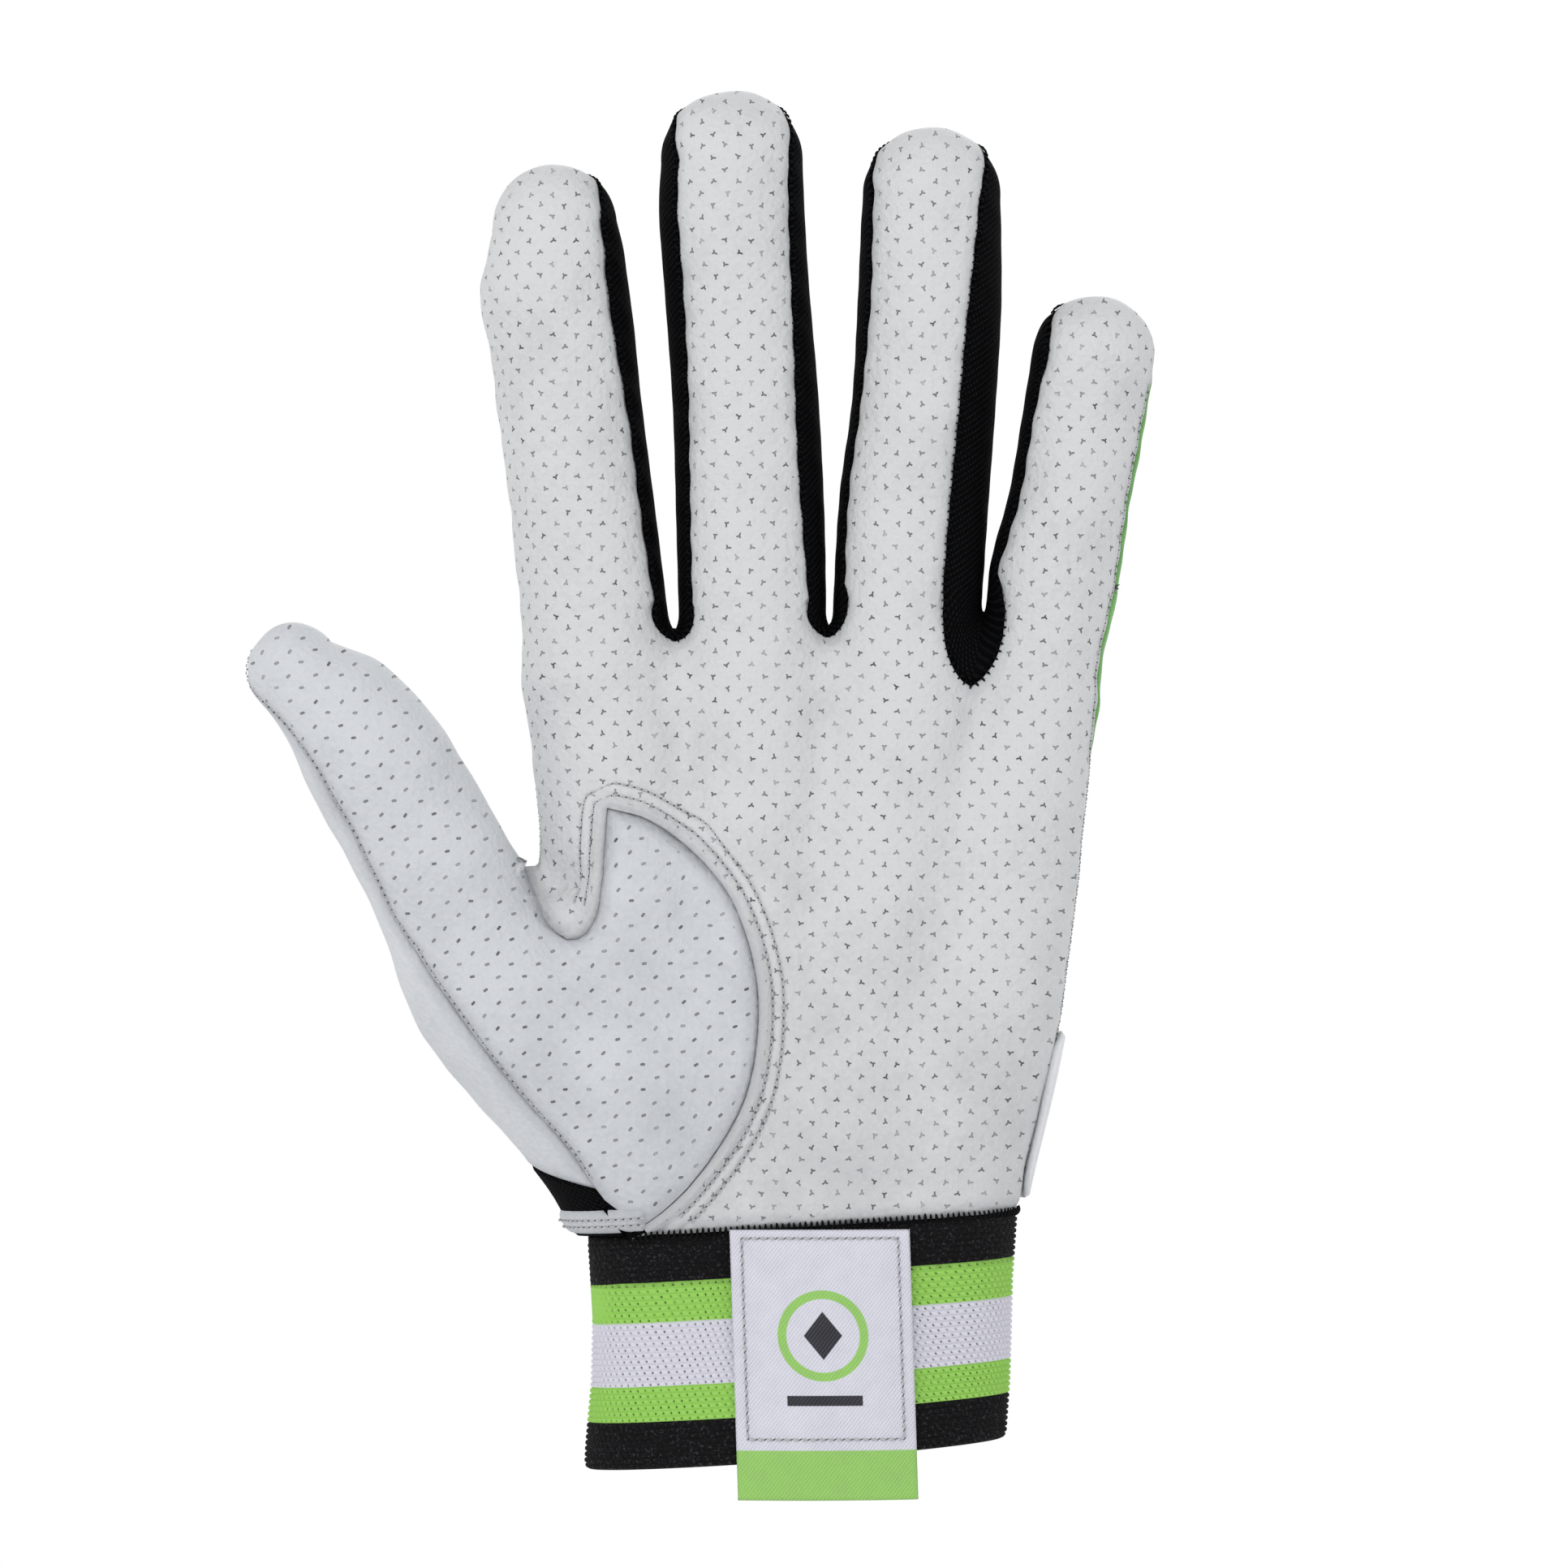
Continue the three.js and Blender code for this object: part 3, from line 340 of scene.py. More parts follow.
class Limb:
    """A rounded limb: a chord with a centre line and a radius that vary along it."""

    def __init__(self, base, tip, rows, seams=(), back=(), start: float = 0.0) -> None:
        self.base = spot(*base)
        run = spot(*tip) - self.base
        self.length = float(np.hypot(*run))
        self.along = np.array([run[0], 0, run[1]]) / self.length
        self.side = np.array([self.along[2], 0, -self.along[0]])
        self.seams, self.back, self.start = seams, back, start
        self._at = steps(256)
        self._rows = read_table(rows, self._at) * HAND_BREADTH

    def centre(self, at) -> Array:
        """The centre line's points at shares of the chord."""
        at = np.asarray(at, float)
        shift = np.interp(at, self._at, self._rows[:, 0])[..., None]
        depth = np.interp(at, self._at, self._rows[:, 1])
        run = (at * self.length)[..., None]
        point = np.array([self.base[0], 0, self.base[1]]) + self.along * run + self.side * shift
        point[..., 1] += depth
        return point

    def radius(self, at) -> Array:
        """The limb's radius at shares of the chord."""
        return np.interp(at, self._at, self._rows[:, 2])

    def share(self, p: Array) -> Array:
        """Where along the chord a point lies, from 0 to 1."""
        run = (p[..., 0] - self.base[0]) * self.along[0] + (p[..., 2] - self.base[1]) * self.along[2]
        return np.clip(run / self.length, 0, 1)

    def distance(self, p: Array) -> Array:
        """How far points lie outside the limb; negative inside."""
        at = self.share(p)
        return np.linalg.norm(p - self.centre(at), axis=-1) - self.radius(at)


LIMBS = {name: Limb(**spec) for name, spec in DIGITS.items()}
FINGERS = [LIMBS[name] for name in ("index", "middle", "ring", "little")]
BONE_LIMBS = [Limb(*bone) for bone in BONES]
WEB_LIMBS = [Limb(a, b, [(0, 0, 0, r), (1, 0, 0, r)]) for a, b, r in WEBS]


def blend(a: Array, b: Array, width: float) -> Array:
    """The smaller of two distances, with a rounded corner of the given width."""
    h = np.maximum(width - np.abs(a - b), 0) / width
    return np.minimum(a, b) - h * h * width / 4


def form(p: Array) -> Array:
    """The hand form: negative inside, in a space where the limbs are round."""
    palm = BONE_LIMBS[0].distance(p)
    for bone in BONE_LIMBS[1:]:
        palm = blend(palm, bone.distance(p), BLEND_PALM)
    palm = blend(palm, LIMBS["thumb"].distance(p), BLEND_THUMB)
    for web in WEB_LIMBS:
        palm = blend(palm, web.distance(p), BLEND_WEB)
    finger = FINGERS[0].distance(p)
    for limb in FINGERS[1:]:
        finger = np.minimum(finger, limb.distance(p))
    return blend(palm, finger, BLEND_FINGER)


def middle_depth(x: Array, z: Array) -> Array:
    """The depth of the middle of the hand over points of the palm's plane."""
    x, z = np.broadcast_arrays(np.asarray(x, float), np.asarray(z, float))
    p = np.stack([x, np.zeros_like(x), z], -1)
    total = np.zeros_like(x)
    weights = np.zeros_like(x)
    for limb in [*BONE_LIMBS, LIMBS["thumb"]]:
        at = limb.share(p)
        c = limb.centre(at)
        gap = np.hypot(x - c[..., 0], z - c[..., 2]) - limb.radius(at)
        weight = np.exp(-gap / MIDDLE_FADE)
        total += weight * c[..., 1]
        weights += weight
    return total / weights


def core_at(place: tuple) -> Array:
    """The point in the middle of the hand's depth at a place given as shares."""
    x, z = spot(*place)
    return np.array([x, float(middle_depth(x, z)), z])


def aim(o: Array, d: Array) -> Array:
    """Rays as one array: the start in the first three places, the direction in the last."""
    o, d = np.broadcast_arrays(np.asarray(o, float), unit(np.asarray(d, float)))
    return np.concatenate([o, d], -1)


def renewed(rays: Array) -> Array:
    """Rays with their directions brought back to length one."""
    return aim(rays[..., :3], rays[..., 3:])


def cast(rays: Array) -> tuple[Array, Array]:
    """Where rays leave the hand form.

    Each ray is followed by steps of the distance that is left, so it settles on the surface.

    Args:
        rays: starts and directions, on a last axis of six.

    Returns:
        The points, squeezed in depth, and the form's outward normals there.
    """
    o, d = rays[..., :3], rays[..., 3:]
    far = np.zeros(rays.shape[:-1])
    for _ in range(CAST_ROUNDS):
        far = far - form(o + d * far[..., None]) * CAST_SHARE
    p = o + d * far[..., None]
    reaches = SLOPE_REACH * np.eye(3)
    slopes = [form(p + reach) - form(p - reach) for reach in reaches]
    return p * SQUEEZE, unit(np.stack(slopes, -1) / SQUEEZE)


def turned(side: Array, angle) -> Array:
    """A direction that turns from the palm side, at 0 degrees, towards a side vector."""
    a = np.asarray(angle, float)[..., None] * RADIANS
    return -np.cos(a) * [0, 1, 0] + np.sin(a) * side


def over(x, z, angle=0.0, tilt: float = 0.0) -> Array:
    """Rays over points of the palm's plane; angle 0 looks to the palm side, 180 behind."""
    x, z, angle = np.broadcast_arrays(*(np.asarray(v, float) for v in (x, z, angle)))
    d = turned(ACROSS, angle)
    d[..., 2] = d[..., 0] * tilt
    return aim(np.stack([x, middle_depth(x, z), z], -1), d)


def over_spots(points, angle=0.0) -> Array:
    """Rays over points given as shares, see over."""
    points = np.asarray(points, float)
    return over(points[..., 0] * HAND_BREADTH, CUFF_HEIGHT + points[..., 1] * HAND_LENGTH, angle)


def wrist_z(x):
    """The height of the palm's lower edge at a place across the wrist."""
    return CUFF_HEIGHT - 0.004 * HAND_LENGTH + x * WRIST_SLOPE


def over_wrist(x, angle) -> Array:
    """Rays over the wrist line."""
    return over(x, wrist_z(np.asarray(x, float)), angle, WRIST_SLOPE)


def mix_rays(a: Array, b: Array, w) -> Array:
    """Rays a share of the way from one to another; w adds a first axis."""
    w = np.asarray(w, float)[..., None]
    return renewed(a * (1 - w) + b * w)


def running(gaps: Array, axis: int = 0) -> Array:
    """The run up to each place, from zero, when the gaps between places are given."""
    return np.insert(np.cumsum(gaps, axis), 0, 0, axis)


def arc_length(points: Array, axis: int = 0) -> Array:
    """The length run along lines of points, from zero."""
    return running(np.linalg.norm(np.diff(points, axis=axis), axis=-1), axis)


def smooth_line(points, count: int) -> Array:
    """Evenly spaced points on a smooth line through the given ones."""
    points = np.asarray(points, float)
    table = np.column_stack([steps(len(points) - 1), points])
    dense = read_table(table, steps(400))
    run = running(np.hypot(np.diff(dense[:, 0]), 2 * np.diff(dense[:, 1])))
    at = steps(count) * run[-1]
    return np.stack([np.interp(at, run, dense[:, k]) for k in range(2)], -1)


def seam_line(points, count: int, angle: float = 0.0) -> Array:
    """Rays along a smooth seam through places given as shares."""
    return over_spots(smooth_line(points, count), angle)


def joined(first: Array, *others: Array) -> Array:
    """Lines of rays end to end, each starting with the ray that the one before ends with."""
    return np.concatenate([first, *(line[1:] for line in others)])


def fill_patch(first: Array, last: Array, left: Array, right: Array, reach: float = 1) -> Array:
    """A patch of rays between four edges, rows running from the first edge to the last.

    Each inner ray is the mix of the first and last edge, plus the pull of the left and the
    right edge, which fades away from them as a power.

    Args:
        first: the rays of the first row.
        last: the rays of the last row.
        left: the first ray of each row.
        right: the last ray of each row.
        reach: the power; a higher one keeps the pull closer to the side edges.

    Returns:
        The grid of rays.
    """
    v = steps(len(left) - 1)[:, None, None]
    w = steps(len(first) - 1)[None, :, None]
    pull_left = left - mix(first[0], last[0], v[:, 0])
    pull_right = right - mix(first[-1], last[-1], v[:, 0])
    grid = (mix(first[None], last[None], v) + pull_left[:, None] * (1 - w) ** reach
            + pull_right[:, None] * w ** reach)
    grid = renewed(grid)
    grid[0], grid[-1], grid[1:-1, 0], grid[1:-1, -1] = first, last, left[1:-1], right[1:-1]
    return grid


def relax(filled: Array, rounds: int = RELAX_ROUNDS) -> Array:
    """Evens out the inner rays of a patch by Winslow's equation, so that no two rows cross.

    Args:
        filled: the grid of rays; its border stays as it is.
        rounds: how many times every inner ray is moved.

    Returns:
        The evened grid.
    """
    grid = filled.copy()
    for _ in range(rounds):
        p = grid[..., :3] + grid[..., 3:] * RELAX_DEPTH
        down = (p[2:, 1:-1] - p[:-2, 1:-1]) / 2
        across = (p[1:-1, 2:] - p[1:-1, :-2]) / 2
        stretch = (across ** 2).sum(-1, keepdims=True) + 1e-6
        drop = (down ** 2).sum(-1, keepdims=True) + 1e-6
        skew = (across * down).sum(-1, keepdims=True)
        twist = (grid[2:, 2:] - grid[2:, :-2] - grid[:-2, 2:] + grid[:-2, :-2]) / 4
        inner = (drop * (grid[1:-1, 2:] + grid[1:-1, :-2])
                 + stretch * (grid[2:, 1:-1] + grid[:-2, 1:-1])
                 - 2 * skew * twist) / (2 * (stretch + drop))
        grid[1:-1, 1:-1] = mix(grid[1:-1, 1:-1], inner, RELAX_SHARE)
    grid[1:-1, 1:-1] = renewed(grid[1:-1, 1:-1])
    far = np.linalg.norm(cast(grid)[0] - grid[..., :3], axis=-1) > RAY_REACH
    LOG.info("%d rays put back", int(far.sum()))
    grid[far] = filled[far]
    return grid


def digit_rows(limb: Limb) -> Array:
    """Rows of a digit: its share along, then how far over the tip, as two columns."""
    along = mix(limb.start, 1.0, steps(COUNTS.length))
    tip = steps(COUNTS.tip)[1:]
    rows = np.zeros((len(along) + len(tip), 2))
    rows[:len(along), 0] = along
    rows[len(along):, 0] = 1
    rows[len(along):, 1] = tip
    return rows


def digit_rays(limb: Limb, rows: Array, angles: Array) -> Array:
    """Rays round a digit, and over its tip towards a pole set back from the top.

    Args:
        limb: the digit.
        rows: share along and share over, a row for each row of rays.
        angles: the angle of each ray, a row for each row.

    Returns:
        The grid of rays, the tip's found by turning evenly from the side to the pole.
    """
    start = turned(limb.side, angles)
    pole = limb.along * math.cos(POLE_BACK) + np.array([0, math.sin(POLE_BACK), 0])
    spread = np.arccos(np.clip(start @ pole, -0.9999, 0.9999))[..., None]
    share = rows[:, 1][:, None, None]
    d = start * np.sin((1 - share) * spread) + pole * np.sin(share * spread)
    return aim(limb.centre(rows[:, 0])[:, None, :], d)


def front_angle(limb: Limb, side: int, rows: Array) -> Array:
    """The angle of a digit's front seam at its rows, closing behind the tip."""
    seam = read_table(limb.seams, rows[:, 0])[..., side]
    meet = limb.back[side]
    closed = CLOSE_ANGLE * (-1 if side == 0 else 1)
    end = np.clip((rows[:, 1] - TIP_MEET) / (TIP_CLOSE - TIP_MEET), 0, 1)
    return np.where(rows[:, 1] <= TIP_MEET, mix(seam, meet, (rows[:, 1] / TIP_MEET) ** 3),
                    mix(meet, closed, end))


def back_angle(limb: Limb, side: int, rows: Array) -> Array:
    """The angle of a digit's back seam at its rows."""
    front = front_angle(limb, side, rows)
    outer = limb.seams[0][side + 1] == limb.back[side]
    return front if outer else np.where(rows[:, 1] > TIP_MEET, front, limb.back[side])


def front_grid(limb: Limb, rows: Array, columns: int) -> Array:
    """Rays of a digit's front panel."""
    left, right = (front_angle(limb, side, rows)[:, None] for side in (0, 1))
    return digit_rays(limb, rows, mix(left, right, steps(columns)))


def back_grid(limb: Limb, rows: Array, columns: int) -> Array:
    """Rays of a digit's back panel, from its left seam round behind to its right."""
    left, right = (back_angle(limb, side, rows)[:, None] for side in (0, 1))
    return digit_rays(limb, rows, mix(360 + left, right, steps(columns)))


def crotch_rays(left: Limb, right: Limb, low, top) -> Array:
    """Rays of a crotch between two fingers, front edge to back edge for each step round it."""
    top_x, top_z = spot(*top)
    core = core_at(low)
    found = []
    for w in steps(COUNTS.crotch)[1:-1]:
        on_left = w <= 0.5
        a = w * 2 if on_left else (1 - w) * 2
        limb, which = (left, 1) if on_left else (right, 0)
        row = digit_rows(limb)[:1]
        centre = limb.centre(limb.start)
        wall = centre + limb.side * (1 if on_left else -1) * limb.radius(limb.start)
        down = math.sin(a * math.pi / 2)
        inwards = mix(1 - math.cos(a * math.pi / 2), a, CROTCH_STRAIGHT[0 if on_left else 1])
        o = mix(centre, core, np.array([inwards, inwards, down]))
        target = mix(wall, np.array([top_x, core[1], top_z]), a)
        side = unit((target - o) * [1, 0, 1])
        front = mix(abs(front_angle(limb, which, row)[0]), 0, inwards)
        rear = mix(abs(back_angle(limb, which, row)[0]), 180, a)
        found.append(aim(o, turned(side, mix(front, rear, steps(COUNTS.fourchette)))))
    return np.array(found)


def side_rays(heights: Array, angles: Array) -> Array:
    """Rays at the little finger's outer side, at shares of the hand's length."""
    found = []
    for height, angle in zip(heights, angles):
        z = CUFF_HEIGHT + height * HAND_LENGTH
        limb = LIMBS["little"] if height > DIGITS["little"]["base"][1] else BONE_LIMBS[3]
        o = limb.centre(limb.share(np.array([limb.centre(0.5)[0], 0, z])))
        found.append(aim(np.array([o[0], o[1], z]), turned(ACROSS, angle)))
    return np.array(found)


class Cutting:
    """The seam lines and panels, as grids of rays that share their edges."""

    def __init__(self) -> None:
        """Works out every seam once, in the order in which they lean on one another."""
        self.thumb_rows = digit_rows(LIMBS["thumb"])
        self.finger_rows = [digit_rows(finger) for finger in FINGERS]
        pairs = list(zip(FINGERS, self.finger_rows))
        self.fronts = [front_grid(*pair, COUNTS.finger) for pair in pairs]
        self.backs = [back_grid(*pair, COUNTS.finger) for pair in pairs]
        self.crotches = [crotch_rays(FINGERS[i], FINGERS[i + 1], *CROTCHES[i]) for i in range(3)]
        self.columns = 4 * COUNTS.finger + 3 * COUNTS.crotch
        self._draw_notch()
        self._draw_sides()
        self._draw_thumb()
        self._cut_palm()
        self._cut_thumb()
        self._cut_back()
        self._cut_mesh()

    def _draw_notch(self) -> None:
        """The web between thumb and palm, and both sides of the notch beside the lobe."""
        thumb = LIMBS["thumb"]
        hit = cast(aim(thumb.centre(WEB_AT), turned(thumb.side, WEB_ANGLE)))[0] / SQUEEZE
        core = core_at(WEB_CORE)
        self.web = aim(core, hit - core)
        straight = COUNTS.notch // 2
        upper = mix_rays(self.web, over_spots(NOTCH_LEFT[0]), steps(straight))
        self.notch_left = joined(upper, seam_line(NOTCH_LEFT, COUNTS.notch - straight))
        self.notch_left[0] = self.web
        self.notch_right = seam_line(NOTCH_RIGHT, COUNTS.tongue)
        self.notch_right[0] = self.notch_left[-1]

    def _draw_sides(self) -> None:
        """The seams down the index finger's side of the palm and the little finger's."""
        left = mix_rays(self.fronts[0][0, 0], self.web, steps(COUNTS.upper))
        left[:, 4] += INDEX_LEAN * np.sin(math.pi * steps(COUNTS.upper)) ** INDEX_LEAN_POWER
        self.palm_left = renewed(left)
        little = DIGITS["little"]
        start = mix(little["base"][1], little["tip"][1], little["start"])
        heights = mix(start, PALM_MIDDLE, steps(COUNTS.upper + COUNTS.notch))
        turn = np.clip((LITTLE_TURN_TOP - heights) / LITTLE_TURN_SPAN, 0, 1)
        self.right_upper = side_rays(heights, mix(little["seams"][0][2], PALM_SIDE_ANGLE, turn))
        self.right_upper[0] = self.fronts[3][0, -1]
        heights = mix(PALM_MIDDLE, BACK_END, steps(COUNTS.lower))
        self.right_lower = side_rays(heights, np.full(len(heights), PALM_SIDE_ANGLE))
        self.right_lower[0] = self.right_upper[-1]
        self.wrist_right_x = float(BONE_LIMBS[3].centre(WRIST_END_AT)[0])
        self.wrist_right = over_wrist(self.wrist_right_x, PALM_SIDE_ANGLE)
        self.right_wrist = mix_rays(self.right_lower[-1], self.wrist_right, steps(COUNTS.wrist))

    def _draw_thumb(self) -> None:
        """The lobe's seam, and the seams down the thumb's outer side and behind it."""
        self.wrist_left_x = float(spot(*LOBE[-1])[0])
        self.wrist_left = over_wrist(self.wrist_left_x, 0)
        self.lobe = seam_line(LOBE, COUNTS.lower + COUNTS.wrist)
        self.lobe[0], self.lobe[-1] = self.notch_right[-1], self.wrist_left
        self.thumb_top = front_grid(LIMBS["thumb"], self.thumb_rows, COUNTS.thumb)
        self.seam_upper = seam_line(THUMB_SEAM_UPPER, COUNTS.notch)
        self.seam_upper[0] = self.thumb_top[0, 0]
        self.seam_lower = seam_line(THUMB_SEAM_LOWER, COUNTS.lower)
        self.seam_lower[0] = self.seam_upper[-1]
        self.seam_end = seam_line(THUMB_SEAM_END, COUNTS.wrist)
        self.seam_end[0], self.seam_end[-1] = self.seam_lower[-1], self.wrist_left
        behind = seam_line(BACK_SEAM, COUNTS.lower, 180)
        upper = mix_rays(self.web, behind[0], steps(COUNTS.notch))
        self.back_seam = np.concatenate([upper[:-1], behind])
        self.back_seam[0] = self.web

    def _cut_palm(self) -> None:
        """The palm: four finger fronts, the upper palm and the lower palm beside the lobe."""
        w = steps(self.columns - COUNTS.tongue)
        turn = PALM_SIDE_ANGLE * w ** LATE_TURN
        (x0, z0), (x1, z1) = spot(*LOBE[0]), self.right_upper[-1][[0, 2]]
        across = over(mix(x0, x1, w), mix(z0, z1, w), turn)
        across[0], across[-1] = self.notch_right[-1], self.right_upper[-1]
        wrist = over_wrist(mix(self.wrist_left_x, self.wrist_right_x, w), turn)
        wrist[0], wrist[-1] = self.wrist_left, self.wrist_right
        self.palm_wrist = wrist
        upper = fill_patch(self._comb(self.fronts, 0), joined(self.notch_right, across),
                           joined(self.palm_left, self.notch_left), self.right_upper, PALM_PULL)
        lower = fill_patch(across, wrist, self.lobe, joined(self.right_lower, self.right_wrist))
        self.palm = [*self.fronts, relax(upper), lower]

    def _cut_thumb(self) -> None:
        """The thumb's front with the lobe, and its back."""
        thumb, top = LIMBS["thumb"], self.thumb_top
        top[0, -1] = self.web
        cross = mix_rays(self.seam_upper[-1], over_spots(NOTCH_BOTTOM), steps(COUNTS.thumb))
        wide = joined(cross, self.notch_right)
        lobe = fill_patch(wide, np.tile(self.wrist_left, (len(wide), 1)),
                          joined(self.seam_lower, self.seam_end), self.lobe)
        self.thumb_front = [top, fill_patch(top[0], cross, self.seam_upper, self.notch_left),
                            relax(lobe, RELAX_ROUNDS_LOBE)]
        w = steps(COUNTS.thumb_back)
        left, right = (front_angle(thumb, side, self.thumb_rows)[:, None] for side in (0, 1))
        back = digit_rays(thumb, self.thumb_rows, mix(left, right - 360, w))
        back[0, 0], back[0, -1] = self.seam_upper[0], self.web
        o = mix(self.seam_lower[-1][:3], self.back_seam[-1][:3], w[:, None])
        end = aim(o, turned(ACROSS, -180 * w))
        end[0], end[-1] = self.seam_lower[-1], self.back_seam[-1]
        self.thumb_end = end
        self.thumb_back = [back, fill_patch(back[0], end, joined(self.seam_upper, self.seam_lower),
                                            self.back_seam)]

    def _cut_back(self) -> None:
        """The back: four finger backs and the back of the hand."""
        w = steps(self.columns)
        a, b = self.back_seam[-1], self.right_lower[-1]
        end = over(mix(a[0], b[0], w), mix(a[2], b[2], w),
                   180 - (180 - PALM_SIDE_ANGLE) * w ** LATE_TURN)
        end[0], end[-1] = a, b
        self.back_end = end
        body = fill_patch(self._comb(self.backs, -1), end, joined(self.palm_left, self.back_seam),
                          joined(self.right_upper, self.right_lower), BACK_PULL)
        self.back = [*[grid[:-1] for grid in self.backs], relax(body)]

    def _cut_mesh(self) -> None:
        """The mesh round the back of the wrist, from the palm's right end to its left."""
        top = joined(self.back_end[::-1], self.thumb_end[::-1])
        w = steps(len(top) - 1)
        turn = self.columns / (len(top) - 1)
        angle = np.where(
            w < turn,
            PALM_SIDE_ANGLE + (180 - PALM_SIDE_ANGLE) * (1 - np.clip(1 - w / turn, 0, 1) ** LATE_TURN),
            180 + 180 * (w - turn) / (1 - turn))
        x = mix(self.wrist_right_x, self.wrist_left_x + MESH_TURN_X, np.clip(w / turn, 0, 1))
        bottom = over_wrist(x, angle)
        bottom[0], bottom[-1] = self.wrist_right, self.wrist_left
        self.mesh = [fill_patch(top, bottom, self.right_wrist, self.seam_end)]

    def _comb(self, grids: list[Array], edge: int) -> Array:
        """The edge that runs over each finger's base row and through the crotches."""
        parts = []
        for i, grid in enumerate(grids):
            parts.append(grid[0])
            if i < len(self.crotches):
                parts.append(self.crotches[i][:, edge])
        return np.concatenate(parts)

    def fourchette(self, which: int) -> list[Array]:
        """The strip down one finger, round the crotch and up the next."""
        sides = []
        for limb, rows, side in ((FINGERS[which], self.finger_rows[which], 1),
                                 (FINGERS[which + 1], self.finger_rows[which + 1], 0)):
            rows = rows[rows[:, 1] <= TIP_MEET]
            front, back = front_angle(limb, side, rows), back_angle(limb, side, rows)
            angles = mix(front[:, None], back[:, None], steps(COUNTS.fourchette))
            sides.append(digit_rays(limb, rows, angles))
        return [np.concatenate([sides[0][::-1], self.crotches[which], sides[1]])]

    def strap(self) -> list[Array]:
        """The closure strap over the back of the wrist, with its end round the outer side."""
        columns, rows = STRAP_CELLS
        v = steps(rows)[:, None]
        edge = np.abs(v * 2 - 1)
        round_off = STRAP_ROUNDING * (1 - np.sqrt(1 - np.minimum(edge ** 6, 1)))
        s = mix(round_off, 1 - round_off, steps(columns))
        x = mix(self.wrist_right_x + STRAP_ENDS[0], self.wrist_left_x + STRAP_ENDS[1], s)
        z = wrist_z(0.0) + STRAP_RISE + STRAP_WIDTH - v * STRAP_WIDTH + x * WRIST_SLOPE
        return [over(x, z, 180 - STRAP_TURN * (1 - s) ** LATE_TURN, WRIST_SLOPE)]

    def binding(self) -> list[Array]:
        """The folded leather binding at the wrist's inner side."""
        across, along = BINDING_CELLS
        v, w = steps(across)[:, None], steps(along)[None]
        x = self.wrist_left_x + mix(*BINDING_ENDS, w) + 0 * v
        return [over(x, wrist_z(x) + BINDING_RISE + v * BINDING_WIDTH, -BINDING_TURN * w, WRIST_SLOPE)]


CREASES = [
    # x and z of both ends in millimetres, depth, width
    (-44, 162, -37, 163, -0.28, 1.0), (-42, 165, -36, 167, -0.22, 0.8),
    (-36, 136, -29, 138.5, -0.3, 1.0), (-39, 141, -31, 143, -0.22, 0.9),
    (-13, 137, -6, 138.5, -0.28, 1.0), (-12, 140, -7, 141.5, -0.2, 0.8),
    (-41.5, 91, -36, 92, -1.1, 1.1), (-40, 93, -37, 93.4, -1.0, 3.4), (-42, 88.6, -37, 89.6, -0.25, 0.7),
    (-41, 86, -36.5, 85, -0.2, 0.7), (-82, 125, -76, 121, -0.25, 1.2), (-64, 101, -57, 97, -0.2, 1.4),
    (26, 59, 34, 47, -0.2, 2.4), (-14, 112, 2, 108, -0.18, 2.4), (8, 108, 22, 104, -0.16, 2.2),
    (38, 84, 42, 70, -0.22, 1.8), (40, 134, 47, 133, -0.15, 1.2),
]


def relief(p: Array, normals: Array) -> Array:
    """How far worn leather rises or sinks: creases across the palm side, and slow waves.

    Each crease is a soft valley round a line with a low ridge at either side, and the waves
    are a sum of sines in three directions.
    """
    x, z = p[..., 0], p[..., 2]
    rise = sum(height * np.sin(p @ np.array(run) + start) for height, *run, start in WAVES)
    facing = np.clip(-normals[..., 1] * 2, 0, 1)
    for x0, z0, x1, z1, depth, width in CREASES:
        run = np.array([x1 - x0, z1 - z0])
        at = ((x - x0) * run[0] + (z - z0) * run[1]) / (run @ run)
        near = np.clip(at, 0, 1)
        gap = np.hypot(x - x0 - near * run[0], z - z0 - near * run[1]) / width
        rise = rise + facing * depth * (1 - 0.9 * gap ** 2) * np.exp(-gap ** 2)
    return rise


def swell(p: Array, normals: Array) -> Array:
    """How far the little finger's side of the palm and wrist stands out, in millimetres."""
    side = np.clip(normals[..., 0], 0, 1) ** 1.5 * np.clip((p[..., 0] - SWELL_X) / SWELL_WIDE, 0, 1)
    return SWELL * side * np.exp(-((p[..., 2] - SWELL_Z) / SWELL_REACH) ** 4)


def near_edge(edge):
    """How much of the relief is left at a distance from a panel's edge."""
    return np.clip(edge / RELIEF_FADE, RELIEF_LEAST, 1)


@dataclass
class Surface:
    """A welded sheet: points, normals, a lay-flat place in millimetres, faces, edge distance."""

    points: Array
    normals: Array
    lay: Array
    faces: Array
    edge: Array


def lay_flat(points: Array) -> Array:
    """Places on the flat cut: height, and x carried on by arc length from the middle column."""
    run = arc_length(points, 1)
    middle = points.shape[1] // 2
    u = run - run[:, middle:middle + 1] + points[:, middle:middle + 1, 0]
    return np.stack([u, points[..., 2]], -1)


def lay_palm(points: Array) -> Array:
    """As lay_flat, but only the outer sides are carried on by arc length."""
    gaps = np.diff(points, axis=1)
    extra = np.linalg.norm(gaps[..., :2], axis=-1) - np.abs(gaps[..., 0])
    columns = points.shape[1]
    outer = np.abs(np.arange(columns - 1) / columns * 2 - 1) > LAY_OUTER
    run = running(extra * outer, 1)
    middle = columns // 2
    return np.stack([points[..., 0] + run - run[:, middle:middle + 1], points[..., 2]], -1)


def grid_faces(rows: int, columns: int) -> Array:
    """The quads of a grid of points, as rows of vertex numbers."""
    ids = np.arange(rows * columns).reshape(rows, columns)
    return np.stack([ids[:-1, :-1], ids[:-1, 1:], ids[1:, 1:], ids[1:, :-1]], -1).reshape(-1, 4)


